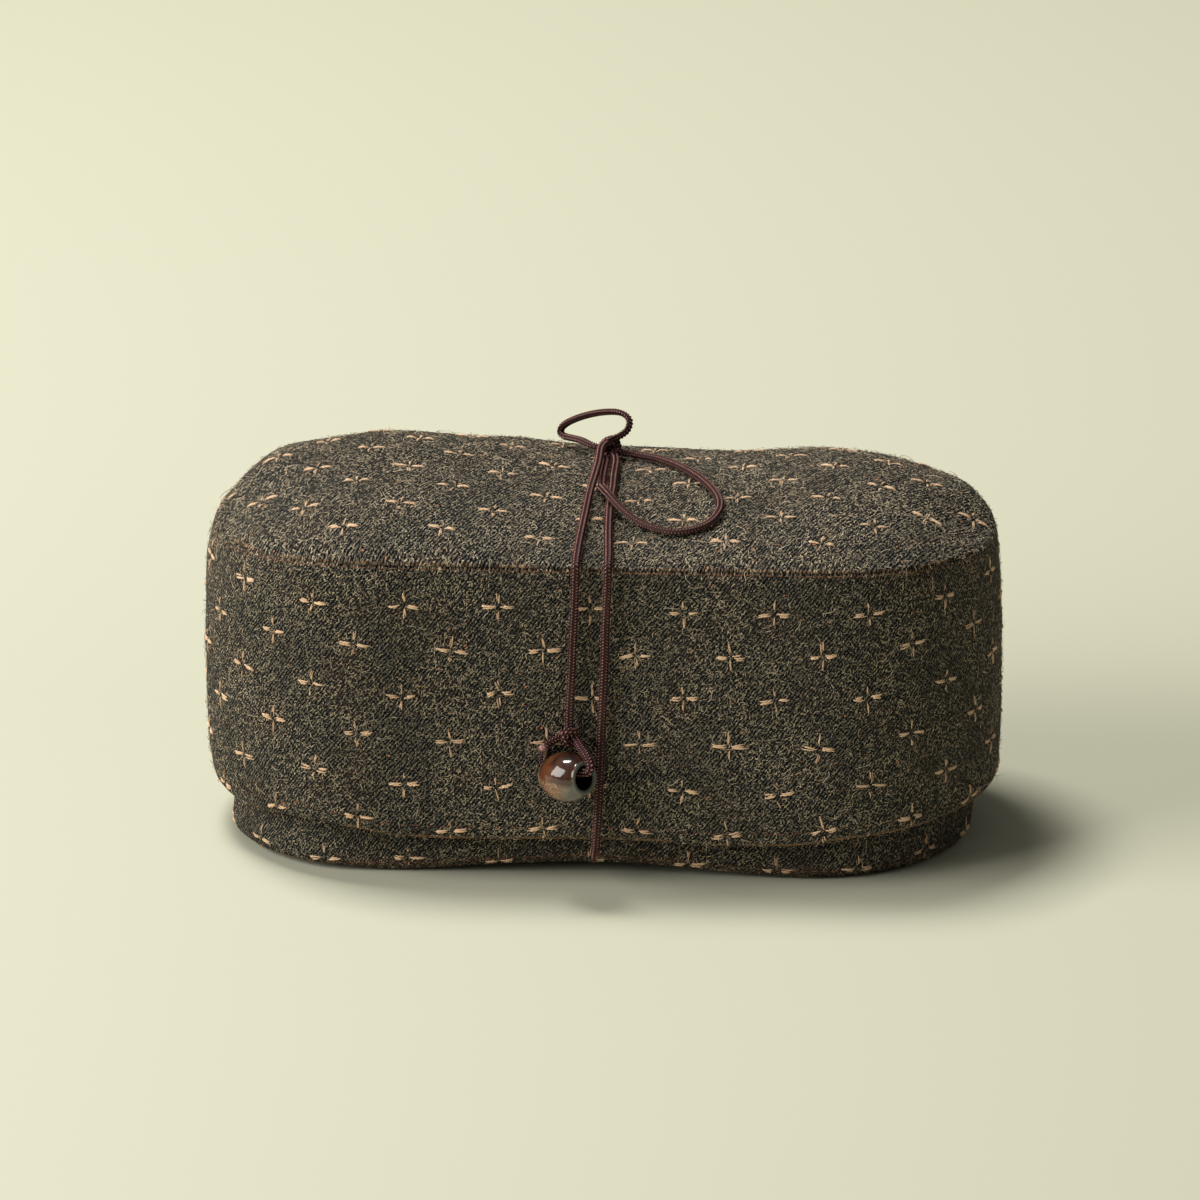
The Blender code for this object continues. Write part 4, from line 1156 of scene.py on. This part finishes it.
def cord_finish():
    """The braided cord: dark, with painted shade in the braid's grooves, painted rosy glints on its crests and
    a paler frayed end.
    """
    material, net = new_material("braided_cord")
    spot, crest = net.spot(), net.mark("crest")
    strand = net.noise(spot, 2100.0)
    # Painted highlight: rosy glints painted on the crests of the braid's stitches
    painted_glint = net.times(net.between(crest, 0.62, 0.86), net.between(strand, 0.34, 0.62, 0.25, 1.0))
    # Painted shade: the colour darkens into the grooves between the braid's stitches
    colour = net.blend(net.between(crest, 0.0, 0.45), (0.003, 0.0010, 0.0010), (0.030, 0.0075, 0.0065))
    colour = net.blend(painted_glint, colour, (0.76, 0.35, 0.31))
    dusty = net.between(net.noise(spot, 60.0, 1.0), 0.5, 0.75, 0.0, 0.3)
    colour = net.blend(dusty, colour, (0.085, 0.050, 0.034))
    colour = net.blend(net.times(net.mark("fray"), 0.8), colour, (0.72, 0.42, 0.40))
    shader, _ = set_surface(net, colour, net.between(strand, 0.3, 0.7, 0.40, 0.60), 0.35, strand, 0.3, 0.0001)
    shader["Specular Tint"].default_value = (1.0, 0.70, 0.72, 1)
    return material


def bead_finish():
    """The bead's glaze, reddish brown above and mottled grey and ochre below, with painted shade in its bore.
    """
    material, net = new_material("bead_glaze")
    spot, bore = net.spot(), net.mark("bore")
    parts = net.split(spot)
    broad, fine = net.noise(spot, 260.0, 3.0), net.noise(spot, 1500.0, 3.0, 0.65)
    wavy = net.sums("ADD", parts[2], net.times(net.sums("SUBTRACT", broad, 0.5), 0.0030))
    left = net.between(parts[0], -0.0075, -0.0120)
    dark = net.blend(net.between(broad, 0.42, 0.60), (0.016, 0.005, 0.003), (0.055, 0.015, 0.006))
    dark = net.blend(net.times(left, net.between(broad, 0.35, 0.55)), dark, (0.12, 0.034, 0.010))
    ochre = net.blend(net.between(fine, 0.44, 0.60), (0.15, 0.075, 0.038), (0.36, 0.205, 0.115))
    grey = net.blend(net.between(broad, 0.40, 0.62), (0.085, 0.078, 0.060), (0.16, 0.145, 0.11))
    earthy = net.blend(net.between(parts[0], -0.0060, -0.0092), grey, ochre)
    colour = net.blend(net.between(wavy, 0.0385, 0.0373), dark, earthy)
    colour = net.blend(net.times(net.between(bore, 0.2, 0.45), 0.9), colour, (0.135, 0.145, 0.125))
    # Painted shade: the bore's inner wall nearly black, as the shade inside the hole
    colour = net.blend(net.between(bore, 0.62, 0.90), colour, (0.006, 0.005, 0.004))
    shader, relieved = set_surface(net, colour, net.between(fine, 0.35, 0.7, 0.35, 0.55), 0.15,
                                   broad, 0.6, 0.0003)
    for key, value in (("Coat Weight", net.between(bore, 0.2, 0.45, 1.0, 0.12)), ("Coat IOR", 1.62),
                       ("Coat Roughness", 0.07), ("Coat Normal", relieved)):
        net.give(shader[key], value)
    return material


# Threads: name, darkest and palest strands
THREADS = (("cross_thread", (0.24, 0.125, 0.065), (1.0, 0.71, 0.47)),
           ("seam_thread", (0.050, 0.018, 0.010), (0.30, 0.115, 0.055)),
           ("frayed_cord", (0.10, 0.034, 0.030), (0.62, 0.32, 0.30)),
           ("cloth_fuzz", (0.07, 0.055, 0.040), (1.0, 0.84, 0.60)))


def make_looks():
    """Every finish of the case."""
    looks = {"cloth": cloth_finish(), "lining": lining_finish(), "cord": cord_finish(), "bead": bead_finish()}
    return looks | {name: thread_finish(name, dark, pale) for name, dark, pale in THREADS}


LOOKS = make_looks()


def dress(piece, look, body, *nodes):
    """Give a piece its finish and body, and hide the model's pieces it stands for."""
    piece.data.materials.clear()
    piece.data.materials.append(LOOKS[look])
    if body:
        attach(piece, body)
    if nodes:
        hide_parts(*nodes)
    return piece


# Floor and light

def make_floor():
    """A pale floor that fills the view, with painted shade darker to the right, away from the light, and
    painted light paler towards the back.
    """
    material, net = new_material("pale_floor")
    spot = net.spot()
    parts = net.split(spot)
    # Painted shade: darker to the right, away from the light; painted light: paler towards the back
    seen_with_painted_light = net.blend(net.between(parts[0], -0.25, 0.25), (0.665, 0.675, 0.545), (0.625, 0.63, 0.495))
    seen_with_painted_light = net.blend(net.between(parts[1], 0.10, 1.40, 0.0, 0.8), seen_with_painted_light, (0.90, 0.89, 0.70))
    ray = net.add("LightPath").outputs
    looked_at = net.sums("MAXIMUM", ray["Is Camera Ray"],
                         net.sums("MAXIMUM", ray["Is Glossy Ray"], ray["Is Transmission Ray"]))
    colour = net.blend(looked_at, (0.62, 0.61, 0.48), seen_with_painted_light)
    set_surface(net, colour, 0.9, 0.1, net.noise(spot, 900.0), 0.05, 0.0002)
    turn = np.arange(64) * 2 * np.pi / 64
    rings = [np.stack([reach * np.cos(turn), reach * np.sin(turn), 0 * turn + depth], -1)
             for reach, depth in ((0.4, -0.0001), (4.0, -0.0001), (4.0, -0.01), (0.4, -0.01))]
    floor = grid_object("floor", np.array(rings), capped=True)
    floor.data.materials.append(material)


def add_light(name, place, size, power, colour, aim=(0.0, 0.0, 0.05)):
    """A soft square light that looks at the case."""
    light = bpy.data.lights.new(name, "AREA")
    light.shape = "SQUARE"
    light.size = size
    light.energy = power
    light.color = colour
    lamp = bpy.data.objects.new(name, light)
    lamp.location = place
    lamp.rotation_euler = (Vector(place) - Vector(aim)).to_track_quat("Z", "Y").to_euler()
    bpy.context.scene.collection.objects.link(lamp)


def light_the_case():
    """Plain soft light, strongest from the upper left."""
    add_light("overhead", (-0.75, 0.50, 2.90), 0.9, 68, (1.0, 0.97, 0.91))
    add_light("side", (-1.95, -1.00, 1.22), 1.6, 52, (1.0, 0.97, 0.92))
    world = bpy.data.worlds.new("room")
    world.use_nodes = True
    back = world.node_tree.nodes["Background"].inputs
    back["Color"].default_value = (0.95, 0.94, 0.86, 1)
    back["Strength"].default_value = 0.12
    bpy.context.scene.world = world
    bpy.context.scene.view_settings.view_transform = "Standard"


# Putting the case together

def declare_cords(cords, knot, hitch, bead):
    """Go through each stretch of cord with its far end, lay and pieces; what is worked out is not kept."""
    facts = {name: ("object", "taut", []) for name in ROUTES} | {
        "bow_right": ("knot", "loose", [knot]), "bow_left": ("knot", "loose", [knot]),
        "tail_lower": ("knot", "hanging", [hitch, bead])}
    for name, (piece, path) in cords.items():
        far_end, lay, pieces = facts[name]
        tuple(path[0])
        route_length(path)
        [tuple(point) for point in path[::8]]
        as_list(pieces)


# Pieces of cord: body, and the model's pieces that each stands for
CORD_PARTS = {
    "cord_front": ("lid", "cord_front_run"), "cord_back": ("lid", "cord_back_run"),
    "cord_under": ("base", "cord_under_run"), "bow_right": ("lid", "bow_loop_right"),
    "bow_left": ("lid", "bow_loop_left"), "tail_upper": (None, "cord_tail_top"),
    "tail_lower": (None, "cord_tail_bend", "cord_tail_strand", "bead_loop", "cord_tail_end"),
}
# Turns of the two knots: centre, two directions across, radius and rise
BOW_TURNS = (((-0.0006, 0.0300, 0.1074), (0.80, 0.45, 0.35), (-0.30, 0.75, 0.55), 0.0028, 0.0004),
             ((-0.0002, 0.0306, 0.1074), (0.92, -0.20, 0.10), (0.15, 0.25, 0.90), 0.0027, 0.0003),
             ((-0.0014, 0.0290, 0.1070), (0.55, 0.80, 0.05), (0.20, -0.10, 0.90), 0.0021, 0.0003))
HITCH_TURNS = (((-0.0062, -0.0650, 0.0502), (0.95, 0.1, 0.15), (0.0, 0.9, -0.35), 0.0020, 0.0003),
               ((-0.0070, -0.0656, 0.0484), (0.65, -0.1, -0.75), (0.1, 0.95, -0.1), 0.0019, 0.0003))


def place_cords():
    """Dress the cord, its knots and its bead."""
    for name, parts in CORD_PARTS.items():
        dress(cords[name][0], "cord", *parts)
    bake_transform(cords["tail_upper"][0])
    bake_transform(cords["tail_lower"][0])
    knot = dress(turned_knot("bow_turns", BOW_TURNS), "cord", "lid", "bow_knot")
    hitch = dress(turned_knot("hitch_turns", HITCH_TURNS), "cord", "tail", "tail_knot")
    dress(frayed_tip("cord_tip", cords["tail_lower"][1], 131), "frayed_cord", "tail")
    bead = dress(make_bead(), "bead", "bead", "bead")
    declare_cords(cords, knot, hitch, bead)


def place_surface_work(top, skirt, wall):
    """Sew on the crosses and seams, and raise the fuzz."""
    rows = [(row + 1, height) for row, height in enumerate(SKIRT_ROWS)]
    dress(wall_crosses("skirt_crosses", skirt, 0.0, rows,
                       lambda height: 1 - (height - HEM_HEIGHT) / (SEAM_HEIGHT - HEM_HEIGHT), 101),
          "cross_thread", "lid")
    dress(wall_crosses("base_crosses", wall, BASE_INSET, list(enumerate(BASE_ROWS)), lambda height: 0.0, 102),
          "cross_thread", "base")
    dress(top_crosses("top_crosses", top, 103), "cross_thread", "lid")
    dress(seam_stitches("lid_seam_thread", skirt, 0.0010, lambda x, y: seam_height(x, y) - 0.0014, 0.6,
                        0.0030, 0.0020, 0.00016, 0.00005, 111), "seam_thread", "lid")
    dress(seam_stitches("hem_thread", skirt, 0.0003, lambda x, y: HEM_HEIGHT + hem_rise(x, y) + 0.0042, 0.0,
                        0.0042, 0.0026, 0.00013, 0.00002, 112), "seam_thread", "lid")
    dress(seam_stitches("base_seam_thread", wall, BASE_INSET + 0.0008, lambda x, y: base_arch(x) + 0.0034, -0.5,
                        0.0036, 0.0026, 0.00015, 0.00004, 113), "seam_thread", "base")
    for name, piece, count, keep, seed, body in (
            ("top_fuzz", top, 10500, lambda spot, out: out.z > 0.2, 121, "lid"),
            ("skirt_fuzz", skirt, 11600,
             lambda spot, out: faces_out(spot, out) and spot.z > HEM_HEIGHT - 0.001, 122, "lid"),
            ("base_fuzz", wall, 3600, lambda spot, out: faces_out(spot, out) and spot.z > 0.003, 123, "base")):
        dress(fuzz(name, piece, count, keep, seed), "cloth_fuzz", body)


def build():
    """Make, dress and place every piece."""
    top, skirt, wall = make_lid_top(), make_lid_skirt(), make_base_wall()
    place_cords()
    lining, ceiling = make_lid_lining()
    bottom = make_base_bottom()
    inner, floor, binding = make_base_lining()
    left, right = make_divider("divider_left", -0.046), make_divider("divider_right", 0.046)
    for piece, look, body, *nodes in (
            (top, "cloth", "lid", "lid_top_panel", "lid_top_pad"),
            (skirt, "cloth", "lid", "lid_skirt_band", "lid_skirt_pad", "lid_hem"),
            (lining, "lining", "lid", "lid_skirt_lining"),
            (ceiling, "lining", "lid", "lid_top_lining"),
            (wall, "cloth", "base", "base_side_band", "base_wall_pad", "base_piping"),
            (bottom, "cloth", "base", "base_bottom_panel", "base_bottom_pad"),
            (inner, "lining", "base", "base_wall_lining"),
            (floor, "lining", "base", "base_floor_lining", "base_bottom_board"),
            (binding, "cloth", "base", "base_rim_binding"),
            (left, "lining", "base", "divider_left_cover", "divider_left_pad"),
            (right, "lining", "base", "divider_right_cover", "divider_right_pad")):
        dress(piece, look, body, *nodes)
    place_surface_work(top, skirt, wall)


build()
make_floor()
light_the_case()
